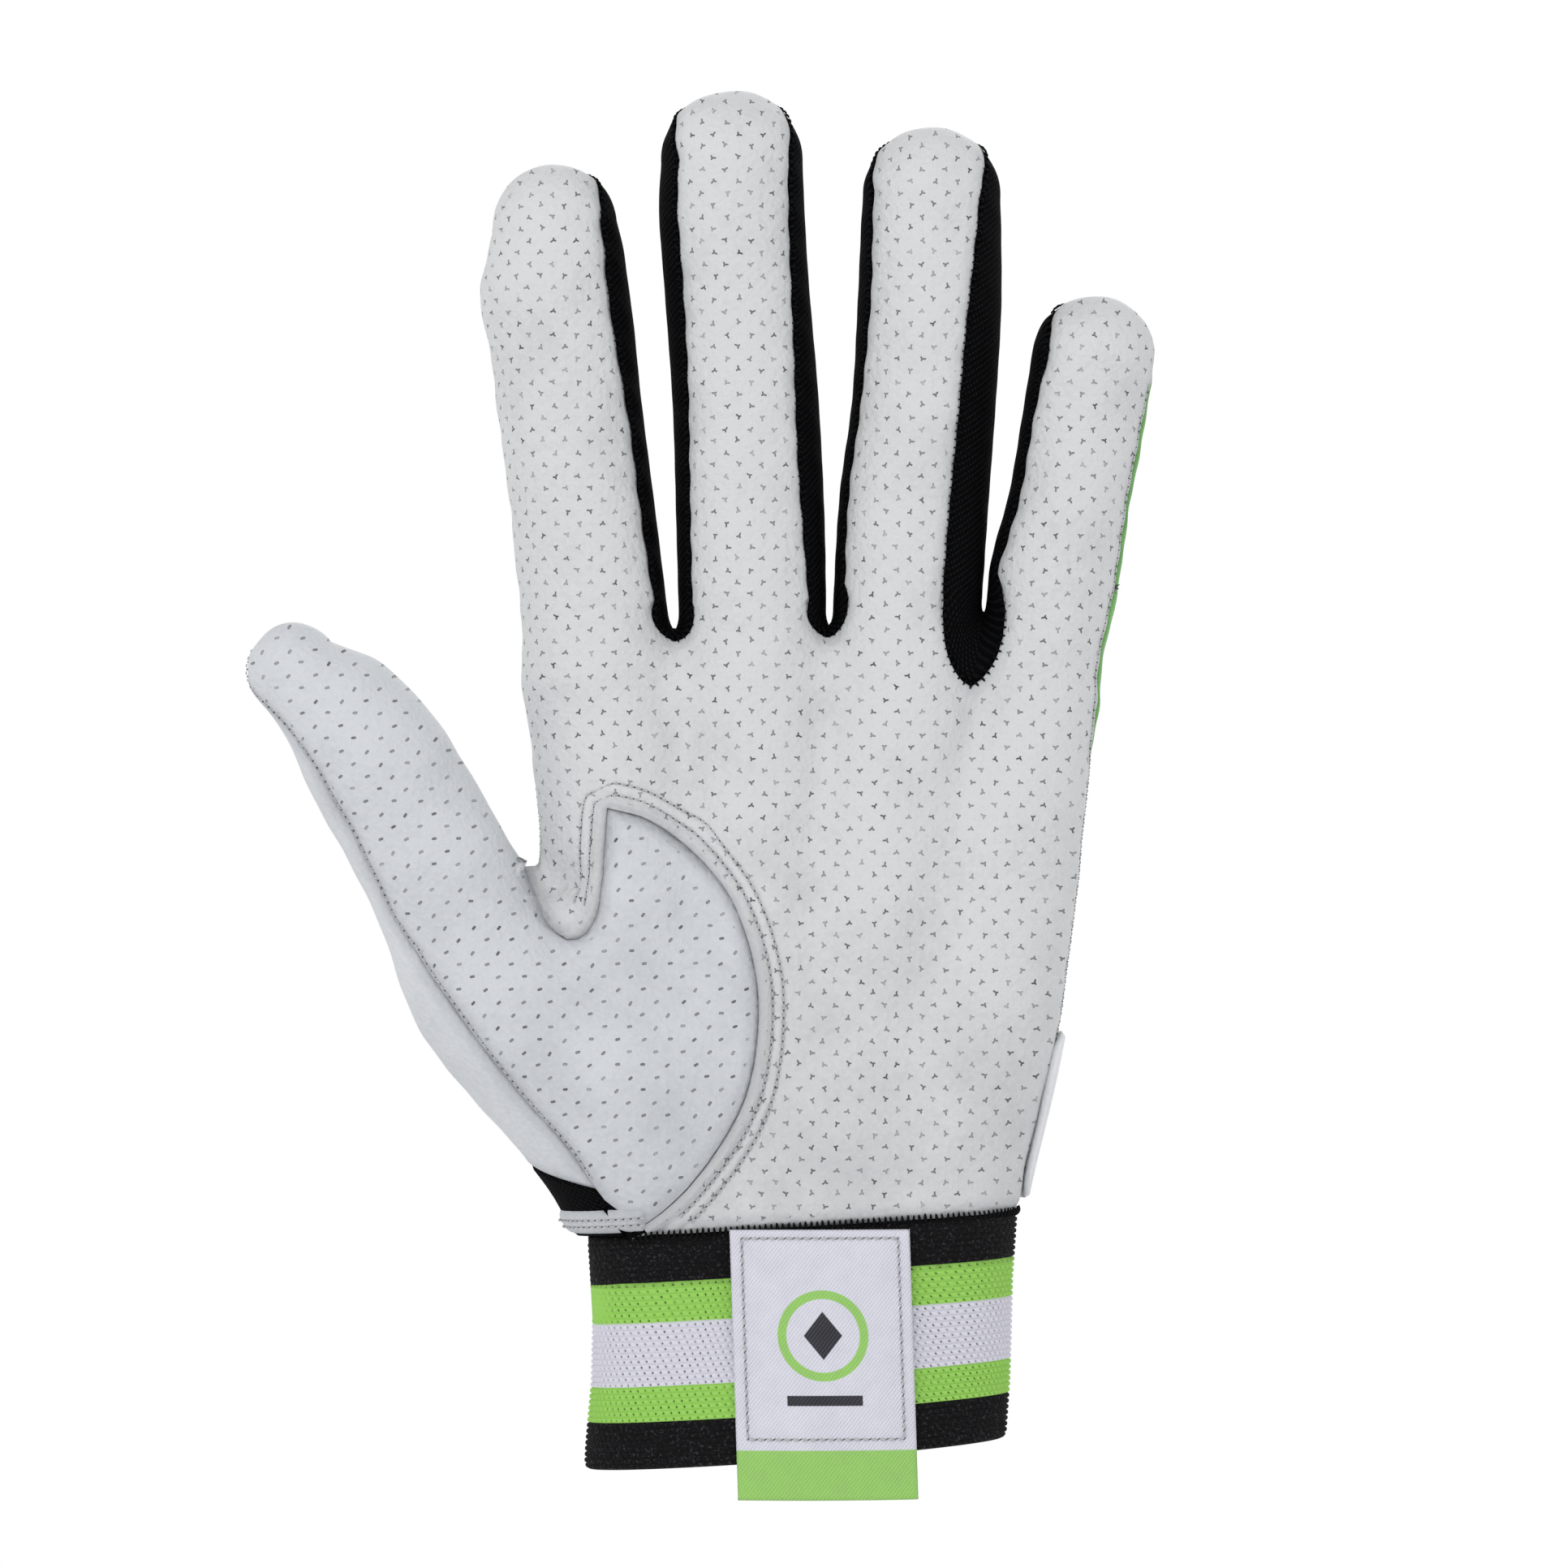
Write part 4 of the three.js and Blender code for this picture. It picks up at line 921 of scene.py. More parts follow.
def weld(patches: list[Array], lays: list, stand: float) -> Surface:
    """Casts patches of rays and joins them where their edges meet.

    Args:
        patches: grids of rays.
        lays: for each patch, the function that lays it flat.
        stand: how far the sheet is lifted off the hand.

    Returns:
        One surface whose faces point outwards.
    """
    points, normals, places, quads = [], [], [], []
    offset = 0
    for rays, lay in zip(patches, lays):
        p, n = cast(rays)
        quad = grid_faces(*p.shape[:2])
        flat_p, flat_n = p.reshape(-1, 3), n.reshape(-1, 3)
        corner = flat_p[quad]
        own = np.cross(corner[:, 2] - corner[:, 0], corner[:, 3] - corner[:, 1])
        if np.sum(np.sign(np.sum(own * flat_n[quad[:, 0]], -1))) < 0:
            quad = quad[:, ::-1]
        points.append(flat_p)
        normals.append(flat_n)
        places.append(lay(p).reshape(-1, 2))
        quads.append(quad + offset)
        offset += len(flat_p)
    p, n, uv, quad = (np.concatenate(v) for v in (points, normals, places, quads))
    _, first, inverse = np.unique(np.round(p * WELD_PARTS).astype(int), axis=0, return_index=True,
                                  return_inverse=True)
    faces = inverse.reshape(-1)[quad]
    points = p[first] + n[first] * stand
    border = points[np.unique(border_edges(faces))]
    edge = np.minimum(line_distance(points, border), EDGE_REACH)
    return Surface(points, n[first], uv[first], faces, edge)


def border_edges(faces: Array) -> Array:
    """The edges with a face on one side only, as pairs of vertex numbers."""
    pairs = np.concatenate([faces[:, [i, (i + 1) % 4]] for i in range(4)])
    pairs = pairs[pairs[:, 0] != pairs[:, 1]]
    key = np.sort(pairs, 1)
    _, index, count = np.unique(key, axis=0, return_index=True, return_counts=True)
    return pairs[index[count == 1]]


def line_distance(points: Array, line: Array) -> Array:
    """How far points are from a dense line of points, worked out a batch at a time."""
    batches = np.array_split(points, len(points) // BATCH + 1)
    return np.concatenate([np.linalg.norm(batch[:, None] - line, axis=-1).min(1) for batch in batches])


def rolled(edge, radius: float):
    """How far a rounded edge sinks at a distance from the border."""
    inside = np.clip(radius - edge, 0, radius)
    return radius - np.sqrt(radius ** 2 - inside ** 2 * ROLL_SHARE)


class Thread(Enum):
    """What a row of stitches is sewn with."""

    WHITE = "white"
    BLACK = "black"
    # Not a thread: dark dots of painted shade in the needle holes, made like stitches.
    HOLE_SHADE = "hole"


class Value:
    """A shader socket that takes part in Python sums."""

    def __init__(self, paint: "Paint", socket) -> None:
        """Wraps a node's output socket."""
        self.paint, self.socket = paint, socket

    def _sum(self, operation: str, *terms) -> "Value":
        """Adds a Math node."""
        names = {i: term for i, term in enumerate(terms)}
        return self.paint.node("ShaderNodeMath", {"operation": operation}, names)

    def __add__(self, other) -> "Value":
        """This plus another."""
        return self._sum("ADD", self, other)

    __radd__ = __add__

    def __sub__(self, other) -> "Value":
        """This less another."""
        return self._sum("SUBTRACT", self, other)

    def __rsub__(self, other) -> "Value":
        """Another less this."""
        return self._sum("SUBTRACT", other, self)

    def __mul__(self, other) -> "Value":
        """This times another."""
        return self._sum("MULTIPLY", self, other)

    __rmul__ = __mul__

    def __truediv__(self, other) -> "Value":
        """This over another."""
        return self._sum("DIVIDE", self, other)

    def op(self, operation: str, *terms) -> "Value":
        """Any other operation of a Math node, with this value first."""
        return self._sum(operation, self, *terms)

    def wave(self, length: float) -> "Value":
        """A sine of this value, of the given length."""
        return (self * (2 * math.pi / length)).op("SINE")

    def share(self) -> "Value":
        """This value, kept between 0 and 1."""
        return self.op("MAXIMUM", 0.0).op("MINIMUM", 1.0)


def linear(colour: tuple) -> tuple:
    """A display colour from 0 to 255, as the linear colour that a shader takes."""
    c = np.asarray(colour, float) / 255
    c = np.where(c <= 0.04045, c / 12.92, ((c + 0.055) / 1.055) ** 2.4)
    return (*c.tolist(), 1.0)


class Paint:
    """A material in the making: its node tree and a few ways to add to it."""

    def __init__(self, name: str, roughness: float, specular: float = 0.4, sheen: float = 0.0) -> None:
        """Starts a material with a Principled shader."""
        self.material = bpy.data.materials.new(name)
        self.material.use_nodes = True
        self.tree = self.material.node_tree
        self.tree.nodes.clear()
        self.out = self.tree.nodes.new("ShaderNodeOutputMaterial")
        self.shader = self.tree.nodes.new("ShaderNodeBsdfPrincipled")
        self.tree.links.new(self.shader.outputs[0], self.out.inputs[0])
        self.shader.inputs["Roughness"].default_value = roughness
        self.shader.inputs["Specular IOR Level"].default_value = specular
        self.shader.inputs["Sheen Weight"].default_value = sheen
        self.shader.inputs["Sheen Roughness"].default_value = 0.6

    def node(self, kind: str, settings: dict, values: dict, output=0) -> Value:
        """Adds a node.

        Args:
            kind: the node's type.
            settings: its own properties.
            values: numbers, colours or links for its sockets, by name or number.
            output: the output to return, by name or number.

        Returns:
            The output, ready for sums.
        """
        node = self.tree.nodes.new(kind)
        for key, value in settings.items():
            setattr(node, key, value)
        for key, value in values.items():
            if isinstance(value, Value):
                self.tree.links.new(value.socket, node.inputs[key])
            else:
                node.inputs[key].default_value = value
        return Value(self, node.outputs[output])

    def lay(self) -> tuple[Value, Value, Value]:
        """The three parts of a piece's own lay attribute."""
        return self.split(self.node("ShaderNodeAttribute", {"attribute_name": "lay"}, {}, "Vector"))

    def place(self) -> Value:
        """The point's place in the CAD frame, in millimetres."""
        found = self.node("ShaderNodeTexCoord", {}, {}, "Object")
        return self.node("ShaderNodeVectorMath", {"operation": "SCALE"}, {0: found, "Scale": 1000.0})

    def split(self, vector: Value) -> tuple[Value, Value, Value]:
        """The three parts of a vector."""
        node = self.tree.nodes.new("ShaderNodeSeparateXYZ")
        self.tree.links.new(vector.socket, node.inputs[0])
        return tuple(Value(self, node.outputs[i]) for i in range(3))

    def noise(self, vector: Value, scale: float, detail: float = 2.0, rough: float = 0.5) -> Value:
        """Noise from 0 to 1, at so many waves a millimetre."""
        return self.node("ShaderNodeTexNoise", {}, {
            "Vector": vector, "Scale": scale, "Detail": detail, "Roughness": rough})

    def cells(self, vector: Value, scale: float) -> Value:
        """Smooth distance in a field of cells, at so many a millimetre."""
        return self.node("ShaderNodeTexVoronoi", {"feature": "SMOOTH_F1"}, {
            "Vector": vector, "Scale": scale, "Randomness": 1.0})

    def blend(self, factor, a, b) -> Value:
        """A colour a share of the way from a to b, which are values or display colours."""
        node = self.tree.nodes.new("ShaderNodeMix")
        node.data_type = "RGBA"
        for index, value in ((0, factor), (6, a), (7, b)):
            if isinstance(value, Value):
                self.tree.links.new(value.socket, node.inputs[index])
            else:
                node.inputs[index].default_value = linear(value)
        return Value(self, node.outputs[2])

    def step(self, value: Value, low: float, high: float) -> Value:
        """A soft step: 0 at low, 1 at high."""
        return self.node("ShaderNodeMapRange", {"interpolation_type": "SMOOTHSTEP"}, {
            0: value, 1: low, 2: high, 3: 0.0, 4: 1.0})

    def colour(self, value) -> "Paint":
        """Feeds the base colour."""
        return self._feed("Base Color", value)

    def rough(self, value) -> "Paint":
        """Feeds the roughness."""
        return self._feed("Roughness", value)

    def bump(self, height: Value, millimetres: float) -> "Paint":
        """Feeds the normal with a bump of the given height in millimetres."""
        normal = self.node("ShaderNodeBump", {}, {
            "Height": height, "Strength": 1.0, "Distance": millimetres * MM})
        return self._feed("Normal", normal)

    def _feed(self, name: str, value) -> "Paint":
        """Links or sets one input of the shader."""
        if isinstance(value, Value):
            self.tree.links.new(value.socket, self.shader.inputs[name])
        else:
            self.shader.inputs[name].default_value = value
        return self


class Prick(Enum):
    """The shape of the holes punched in a leather."""

    NONE = 0
    THREE_ARMED = 1
    DASH = 2


@dataclass(frozen=True)
class Leather:
    """White goatskin: pebble grain and punched holes on a staggered lattice, the holes dark with painted
    shade; grey towards seams from painted shade and seam dirt, and towards the wrist from painted shade.
    """

    name: str
    colour: tuple = (214, 216, 217)
    shade: tuple = (156, 159, 162)
    prick: Prick = Prick.NONE
    pitch: float = 3.95
    # The colour of the punched holes: painted shade inside them.
    hole: tuple = (44, 45, 49)
    roughness: float = 0.56
    row_share: float = 0.48
    dash_half: float = 0.2
    dash_turn: float = 1.1
    # Each arm of a three-armed hole: its angle in degrees and its length.
    arms: tuple = ((90, 0.5), (205, 0.36), (325, 0.24))
    # Waves a millimetre of the pebbles, the fine grain, the wide mottle and the patches where the painted
    # shade in the holes is stronger.
    pebbles: float = 1.15
    fine: float = 2.6
    wide: float = 0.07
    hole_shade_patches: float = 0.09
    # The heights between which the palm's lower part darkens towards the wrist: painted shade, as the
    # lighting falls off there.
    heel_shade: tuple = (40.0, 105.0)

    def holes(self, paint: Paint, u: Value, v: Value) -> Value:
        """A mask of the holes, 1 inside one.

        Each row of the lattice is set off by half, and each hole has its own small shift,
        turn and strength, drawn from the number of its cell.
        """
        high = self.pitch * self.row_share
        row = (v / high).op("FLOOR")
        column = (u / self.pitch + row.op("FLOORED_MODULO", 2.0) * 0.5)
        cell = paint.node("ShaderNodeCombineXYZ", {}, {0: column.op("FLOOR"), 1: row, 2: 0.5})
        drawn = paint.node("ShaderNodeTexWhiteNoise", {"noise_dimensions": "3D"}, {"Vector": cell}, 1)
        turn, lean, strength = paint.split(drawn)
        a = (column.op("FRACT") - 0.5) * self.pitch + (lean - 0.5) * 0.5
        b = ((v / high).op("FRACT") - 0.5) * high + (turn - 0.5) * 0.4
        turn = turn * (self.dash_turn if self.prick is Prick.DASH else 2 * math.pi)
        cosine, sine = turn.op("COSINE"), turn.op("SINE")
        a, b = a * cosine + b * sine, b * cosine - a * sine
        if self.prick is Prick.DASH:
            gap = (a.op("ABSOLUTE") - self.dash_half).op("MAXIMUM", 0.0)
            found = 1 - paint.step(gap * gap + b * b, 0.004, 0.05)
            return found * (strength * 0.5 + 0.45)
        best = None
        for angle, arm in self.arms:
            dx, dy = math.cos(angle * RADIANS), math.sin(angle * RADIANS)
            t = (a * dx + b * dy).op("MAXIMUM", 0.0).op("MINIMUM", arm)
            side, rise = a - t * dx, b - t * dy
            gap = side * side + rise * rise
            best = gap if best is None else best.op("MINIMUM", gap)
        return (1 - paint.step(best, 0.001, 0.021)) * (strength * 0.65 + 0.35)

    def make(self):
        """Builds the material."""
        paint = Paint(self.name, self.roughness, 0.42, 0.12)
        u, v, edge = paint.lay()
        place = paint.place()
        grain = paint.cells(place, self.pebbles)
        fine = paint.noise(place, self.fine, 3.0, 0.6)
        wide = paint.noise(place, self.wide, 3.0, 0.55)
        # Greyer towards the seams: partly painted shade where the panels meet, partly seam dirt.
        near = 1 - paint.step(edge, 0.1, 3.2)
        # Painted shade: the leather darkens towards the wrist, where the lighting falls off.
        low = 1 - paint.step(paint.split(place)[2], *self.heel_shade)
        tone = (near * 0.38 + (wide - 0.5) * 0.7 + (grain - 0.4) * 0.22 + low * 0.2).share()
        base = paint.blend(tone, self.colour, self.shade)
        height = (fine - 0.5) * 0.5 + (0.55 - grain)
        if self.prick is not Prick.NONE:
            # The punched holes are painted dark, as painted shade inside them, and sunk by the bump.
            strength = paint.step(paint.noise(place, self.hole_shade_patches), 0.3, 0.62) * 0.35 + 0.6
            hole = self.holes(paint, u, v) * paint.step(edge, 1.2, 1.8)
            base = paint.blend(hole * strength, base, self.hole)
            height = height - hole * 2.2
        paint.colour(base).rough(self.roughness + (fine - 0.5) * 0.18)
        paint.bump(height, 0.2)
        return paint.material


@dataclass(frozen=True)
class RibMesh:
    """Black stretch mesh: fine cords laid aslant, with pinholes between them; the cords' crests are painted
    lighter, a painted highlight.
    """

    name: str
    colour: tuple = (7, 7, 8)
    # The colour of the painted highlight on the cords' crests.
    crest_highlight: tuple = (30, 30, 34)
    cord: float = 1.05
    cross: float = 0.72

    def make(self):
        """Builds the material."""
        paint = Paint(self.name, 0.8, 0.04, 0.0)
        u, v, _ = paint.lay()
        cord = (u * 0.6 + v).wave(self.cord)
        cross = (u - v * 0.45).wave(self.cross)
        height = cord * 0.6 + cross * 0.4
        speck = paint.noise(paint.place(), 1.4, 3.0)
        # Painted highlight: raised cords are lighter than the hollows between them; the speckle is the
        # yarn's own.
        tone = paint.step(height + (speck - 0.5), 0.1, 1.1)
        paint.colour(paint.blend(tone, self.colour, self.crest_highlight))
        paint.bump(height, 0.16)
        return paint.material


@dataclass(frozen=True)
class Fabric:
    """Close woven back fabric: a two-way weave with a little slub."""

    name: str
    colour: tuple = (134, 205, 108)
    shade: tuple = (88, 158, 66)
    pitch: float = 0.62

    def make(self):
        """Builds the material."""
        paint = Paint(self.name, 0.68, 0.35, 0.3)
        u, v, edge = paint.lay()
        height = u.wave(self.pitch) * v.wave(self.pitch)
        wide = paint.noise(paint.place(), 0.12, 3.0)
        # Darker towards the seams: partly painted shade where the panels meet, partly seam dirt.
        near = 1 - paint.step(edge, 0.1, 2.5)
        tone = (height * 0.18 + (wide - 0.45) * 0.9 + 0.3 + near * 0.25).share()
        paint.colour(paint.blend(tone, self.colour, self.shade))
        paint.bump(height, 0.09)
        return paint.material


@dataclass(frozen=True)
class BandedKnit:
    """Striped rib knit: the lay's height share picks the band, and painted shade darkens the gaps between
    the loops.
    """

    name: str
    green: tuple = (158, 214, 100)
    white: tuple = (222, 221, 232)
    black: tuple = (16, 15, 17)
    fluff: tuple = (66, 63, 68)
    # The colour of the painted shade in the gaps between loops.
    gap: tuple = (24, 26, 24)
    # Where one band ends and the next starts, as shares of the cuff's height, and how softly.
    edges: tuple = (0.21, 0.375, 0.645, 0.80)
    soft: float = 0.006

    def make(self):
        """Builds the material."""
        paint = Paint(self.name, 0.86, 0.14, 0.02)
        share, loop_gap_shade, _ = paint.lay()
        place = paint.place()
        ragged = share + (paint.noise(place, 0.9) - 0.5) * self.soft
        speck = paint.noise(place, 2.2, 3.0)
        black = paint.blend(paint.step(speck, 0.54, 0.74), self.black, self.fluff)
        tint = black
        for at, colour in zip(self.edges, (self.green, self.white, self.green, black)):
            tint = paint.blend(paint.step(ragged, at - self.soft, at + self.soft), tint, colour)
        patchy = paint.step(paint.noise(place, 0.35), 0.36, 0.62) * 0.5 + 0.42
        # Painted shade in the gaps between loops, patchy and speckled.
        dark = paint.step(loop_gap_shade + (speck - 0.5) * 0.3, 0.25, 0.85) * patchy
        paint.colour(paint.blend(dark, tint, self.gap))
        paint.bump(paint.noise(place, 3.5), 0.12)
        return paint.material


@dataclass(frozen=True)
class Satin:
    """Woven label satin: a fine twill, pale, with a green end."""

    name: str
    pale: tuple = (232, 232, 243)
    green: tuple = (160, 218, 104)
    black: tuple = (24, 23, 26)
    weft: tuple = (110, 108, 128)
    # The colour of the frame's needle holes: painted shade in them.
    needle: tuple = (52, 50, 58)
    # Down the label: the middle of the ring, the bar, and where the green end starts.
    ring_at: float = 17.0
    bar_at: float = 27.4
    green_at: float = 35.2
    ring_radius: float = 6.6
    diamond_half: float = 3.0
    bar_half: tuple = (6.0, 0.75)

    def motif(self, paint: Paint, u: Value, v: Value, tint: Value) -> Value:
        """Woven into the middle: a green ring round a black diamond, over a black bar."""
        down = v - self.ring_at
        ring = ((u * u + down * down).op("SQRT") - self.ring_radius).op("ABSOLUTE")
        tint = paint.blend(1 - paint.step(ring, 0.62, 0.78), tint, self.green)
        diamond = u.op("ABSOLUTE") + down.op("ABSOLUTE") * 0.8
        diamond = paint.step(diamond, self.diamond_half, self.diamond_half + 0.2)
        tint = paint.blend(1 - diamond, tint, self.black)
        wide, high = self.bar_half
        bar = (u.op("ABSOLUTE") - wide).op("MAXIMUM", (v - self.bar_at).op("ABSOLUTE") - high)
        return paint.blend(1 - paint.step(bar, 0.0, 0.15), tint, self.black)

    def make(self):
        """Builds the material."""
        paint = Paint(self.name, 0.5, 0.3, 0.1)
        u, v, _ = paint.lay()
        height = (u + v * 0.8).wave(0.62) * 0.7 + (u - v * 0.2).wave(0.36) * 0.3
        tint = paint.blend(paint.step(v, self.green_at, self.green_at + 0.3), self.pale, self.green)
        tint = self.motif(paint, u, v, tint)
        tone = 0.12 + height * -0.16 + (paint.noise(paint.place(), 0.3) - 0.5) * 0.2
        tint = paint.blend(tone.op("MAXIMUM", 0.0), tint, self.weft)
        # The frame's needle holes are painted dark, as painted shade in them, and sunk by the bump.
        frame = (u.op("ABSOLUTE") - FRAME_HALF).op("MAXIMUM", (v - FRAME_MIDDLE).op("ABSOLUTE") - FRAME_HIGH)
        beat = ((u + v) / FRAME_PITCH + 0.5).op("FRACT") - 0.5
        hole = 1 - paint.step(beat * beat * FRAME_PITCH ** 2 + frame * frame, 0.01, 0.045)
        paint.colour(paint.blend(hole * 0.8, tint, self.needle))
        paint.bump(height - hole * 6.0, 0.06)
        return paint.material


@dataclass(frozen=True)
class Yarn:
    """Sewing thread: two plies twisted, seen as slanted ridges."""

    name: str
    colour: tuple
    shade: tuple
    specular: float = 0.3
    twist: float = 0.4

    def make(self):
        """Builds the material."""
        paint = Paint(self.name, 0.65, self.specular)
        x, y, z = paint.split(paint.place())
        ply = (x * 0.7 + y + z * 1.3).wave(self.twist)
        tone = (ply * 0.3 + 0.35).op("MAXIMUM", 0.0)
        paint.colour(paint.blend(tone, self.colour, self.shade))
        paint.bump(ply, 0.05)
        return paint.material


@dataclass(frozen=True)
class StudioFloor:
    """Pale matt floor with a barely seen mottle."""

    name: str = "studio_floor"
    colour: tuple = (250, 250, 250)
    shade: tuple = (240, 240, 242)

    def make(self):
        """Builds the material."""
        paint = Paint(self.name, 0.9, 0.1)
        tone = paint.noise(paint.place(), 0.002) * 0.2
        paint.colour(paint.blend(tone, self.colour, self.shade))
        return paint.material


MATERIALS: dict = {}


def material(finish):
    """A finish's material, made once."""
    if finish.name not in MATERIALS:
        MATERIALS[finish.name] = finish.make()
    return MATERIALS[finish.name]


PALM_LEATHER = Leather("palm_leather_finish", prick=Prick.THREE_ARMED)
THUMB_LEATHER = Leather("thumb_leather_finish", (211, 214, 218), (152, 156, 163), Prick.DASH, 4.2)
STRIP_LEATHER = Leather("strip_leather_finish", (216, 219, 223), (160, 164, 170))
STRAP_LEATHER = Leather("strap_leather_finish", (243, 244, 246), (214, 216, 220))
BLACK_MESH = RibMesh("black_rib_finish")
GREEN_FABRIC = Fabric("green_fabric_finish")
CUFF_KNIT = BandedKnit("cuff_knit_finish")
LABEL_SATIN = Satin("label_satin_finish")
THREADS = {
    Thread.WHITE: Yarn("white_thread_finish", (222, 222, 224), (168, 169, 174)),
    Thread.BLACK: Yarn("black_thread_finish", (20, 20, 22), (6, 6, 7), 0.08),
    # Dots of painted shade in the needle holes, grey to dark.
    Thread.HOLE_SHADE: Yarn("needle_hole_finish", (118, 117, 116), (70, 70, 72), 0.1),
}


def add_piece(name: str, points: Array, faces: Array, finish, lay: Array | None = None):
    """Makes a mesh object in metres, riding on the root.

    Args:
        name: the piece's name.
        points: vertices in millimetres.
        faces: rows of four vertex numbers; a quad with one corner twice becomes a triangle.
        finish: what the piece is made of.
        lay: an attribute of three numbers a vertex, for the finish.

    Returns:
        The object.
    """
    same = faces == np.roll(faces, -1, 1)
    once = same.sum(1) == 1
    triangles = faces[once][~same[once]].reshape(-1, 3)
    mesh = bpy.data.meshes.new(name)
    mesh.from_pydata((points * MM).tolist(), [], faces[~same.any(1)].tolist() + triangles.tolist())
    if lay is not None:
        attribute = mesh.attributes.new("lay", "FLOAT_VECTOR", "POINT")
        attribute.data.foreach_set("vector", np.ascontiguousarray(lay, np.float32).ravel())
    mesh.validate()
    mesh.polygons.foreach_set("use_smooth", np.ones(len(mesh.polygons), bool))
    mesh.materials.append(material(finish))
    piece = bpy.data.objects.new(name, mesh)
    bpy.context.scene.collection.objects.link(piece)
    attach(piece, "root")
    LOG.info("%s: %d faces", name, len(mesh.polygons))
    return piece


def give_wall(piece, thickness: float) -> None:
    """Gives a sheet its wall, inwards."""
    wall = piece.modifiers.new("wall", "SOLIDIFY")
    wall.thickness = thickness * MM
    wall.offset = -1
    wall.use_rim = True
    wall.use_even_offset = False


def hem(gap: Array) -> Array:
    """The rise of a turned hem at a distance from its seam: a fold, then two sewn valleys."""
    return sum(rise * np.exp(-((gap - at) / width) ** 2) for rise, at, width in HEM_FOLDS)


@dataclass
class Panel:
    """One cut panel of the hand: its patches, wall and finish."""

    name: str
    node: str
    slot: str
    wall: float
    finish: object
    roll: float = EDGE_ROLL
    stand: float = 0.0
    creased: bool = True
    pucker: float = 0.14
    hem_line: Array | None = None

    def build(self, patches: list[Array], lays: list) -> None:
        """Casts, creases and rolls the panel, and puts it in its node's place.

        Near the border the sheet puckers: a wave along the seam that fades inwards.
        """
        surface = weld(patches, lays, self.stand)
        rise = swell(surface.points, surface.normals) - rolled(surface.edge, self.roll)
        if self.creased:
            rise = rise + relief(surface.points, surface.normals) * near_edge(surface.edge)
        run = surface.points @ np.array(PUCKER_RUN) * (2 * math.pi / PUCKER_LENGTH)
        rise = rise + self.pucker * np.exp(-surface.edge / PUCKER_REACH) * np.sin(run)
        if self.hem_line is not None:
            line = cast(even_rays(self.hem_line, HEM_PITCH))[0]
            rise = rise + hem(line_distance(surface.points, line))
        points = surface.points + surface.normals * rise[:, None]
        lay = np.column_stack([surface.lay, surface.edge])
        piece = add_piece(self.name, points, surface.faces, self.finish, lay)
        give_wall(piece, self.wall)
        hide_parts(self.node)


class Hand:
    """The leather, mesh and fabric panels of the hand."""

    def __init__(self, cutting: Cutting) -> None:
        """Keeps the cutting that the panels share."""
        self.cutting = cutting

    def build(self) -> None:
        """Builds every panel."""
        cut = self.cutting
        flat, broad = lay_flat, lay_palm
        seam = joined(cut.notch_right, cut.lobe)
        Panel("palm_sheet", "palm_leather", "white_leather", 1.2, PALM_LEATHER, hem_line=seam).build(
            cut.palm, [flat] * 4 + [broad, broad])
        Panel("thumb_front_sheet", "thumb_front_leather", "thumb_leather", 1.2, THUMB_LEATHER).build(
            cut.thumb_front, [broad] * 3)
        Panel("thumb_back_sheet", "thumb_back_leather", "white_leather", 1.2, STRIP_LEATHER).build(
            cut.thumb_back, [flat] * 2)
        for i, name in enumerate(("index_middle", "middle_ring", "ring_little")):
            Panel(f"fourchette_{name}_strip", f"fourchette_{name}", "black_rib", 1.2, BLACK_MESH,
                  creased=False, pucker=0.25).build(cut.fourchette(i), [lay_strip])
        Panel("back_sheet", "back_panel", "green_fabric", 1.2, GREEN_FABRIC).build(
            cut.back, [flat] * 4 + [broad])
        Panel("wrist_mesh_band", "wrist_mesh", "black_rib", 1.2, BLACK_MESH, creased=False).build(
            cut.mesh, [flat])
        Panel("strap_band", "wrist_strap", "white_leather", 1.3, STRAP_LEATHER, roll=0.8,
              stand=1.5, creased=False, pucker=0.0).build(cut.strap(), [flat])
        Panel("binding_fold", "wrist_binding", "white_leather", 1.1, STRIP_LEATHER, roll=1.9,
              stand=BINDING_STAND, creased=False, pucker=0.0).build(cut.binding(), [flat])


def lay_strip(points: Array) -> Array:
    """Places on a long strip: arc length along it and across it."""
    u, v = arc_length(points, 1), arc_length(points)
    return np.stack([u, v.mean(1, keepdims=True) + 0 * u], -1)


@dataclass(frozen=True)
class Stitch:
    """One stitch: a bowed capsule, its size, the pitch it is sewn at and how it lies."""

    length: float
    width: float
    pitch: float
    slant: float = 0.0
    lift: float = 0.12

    def template(self) -> tuple[Array, Array]:
        """Points and faces of the capsule: rings of six round a bowed line."""
        rings, sides = 6, 6
        t = steps(rings - 1)[:, None]
        a = np.arange(sides)[None] * (2 * math.pi / sides)
        girth = np.sin(np.clip(t, 0.04, 0.96) * math.pi) ** 0.5
        x = (t - 0.5) * self.length + 0 * a
        y = np.cos(a) * girth * self.width / 2
        z = np.sin(a) * girth * self.width / 2 + np.sin(t * math.pi) * self.width * 0.35
        points = np.stack([x, y, z], -1).reshape(-1, 3)
        ids = np.arange(rings * sides).reshape(rings, sides)
        after = np.roll(ids, -1, 1)
        quads = np.stack([ids[:-1], after[:-1], after[1:], ids[1:]], -1).reshape(-1, 4)
        ends = np.array([[0, 5, 4, 3], [0, 3, 2, 1]])
        tail = np.array([[0, 1, 2, 3], [0, 3, 4, 5]]) + (rings - 1) * sides
        return points, np.concatenate([quads, ends, tail])


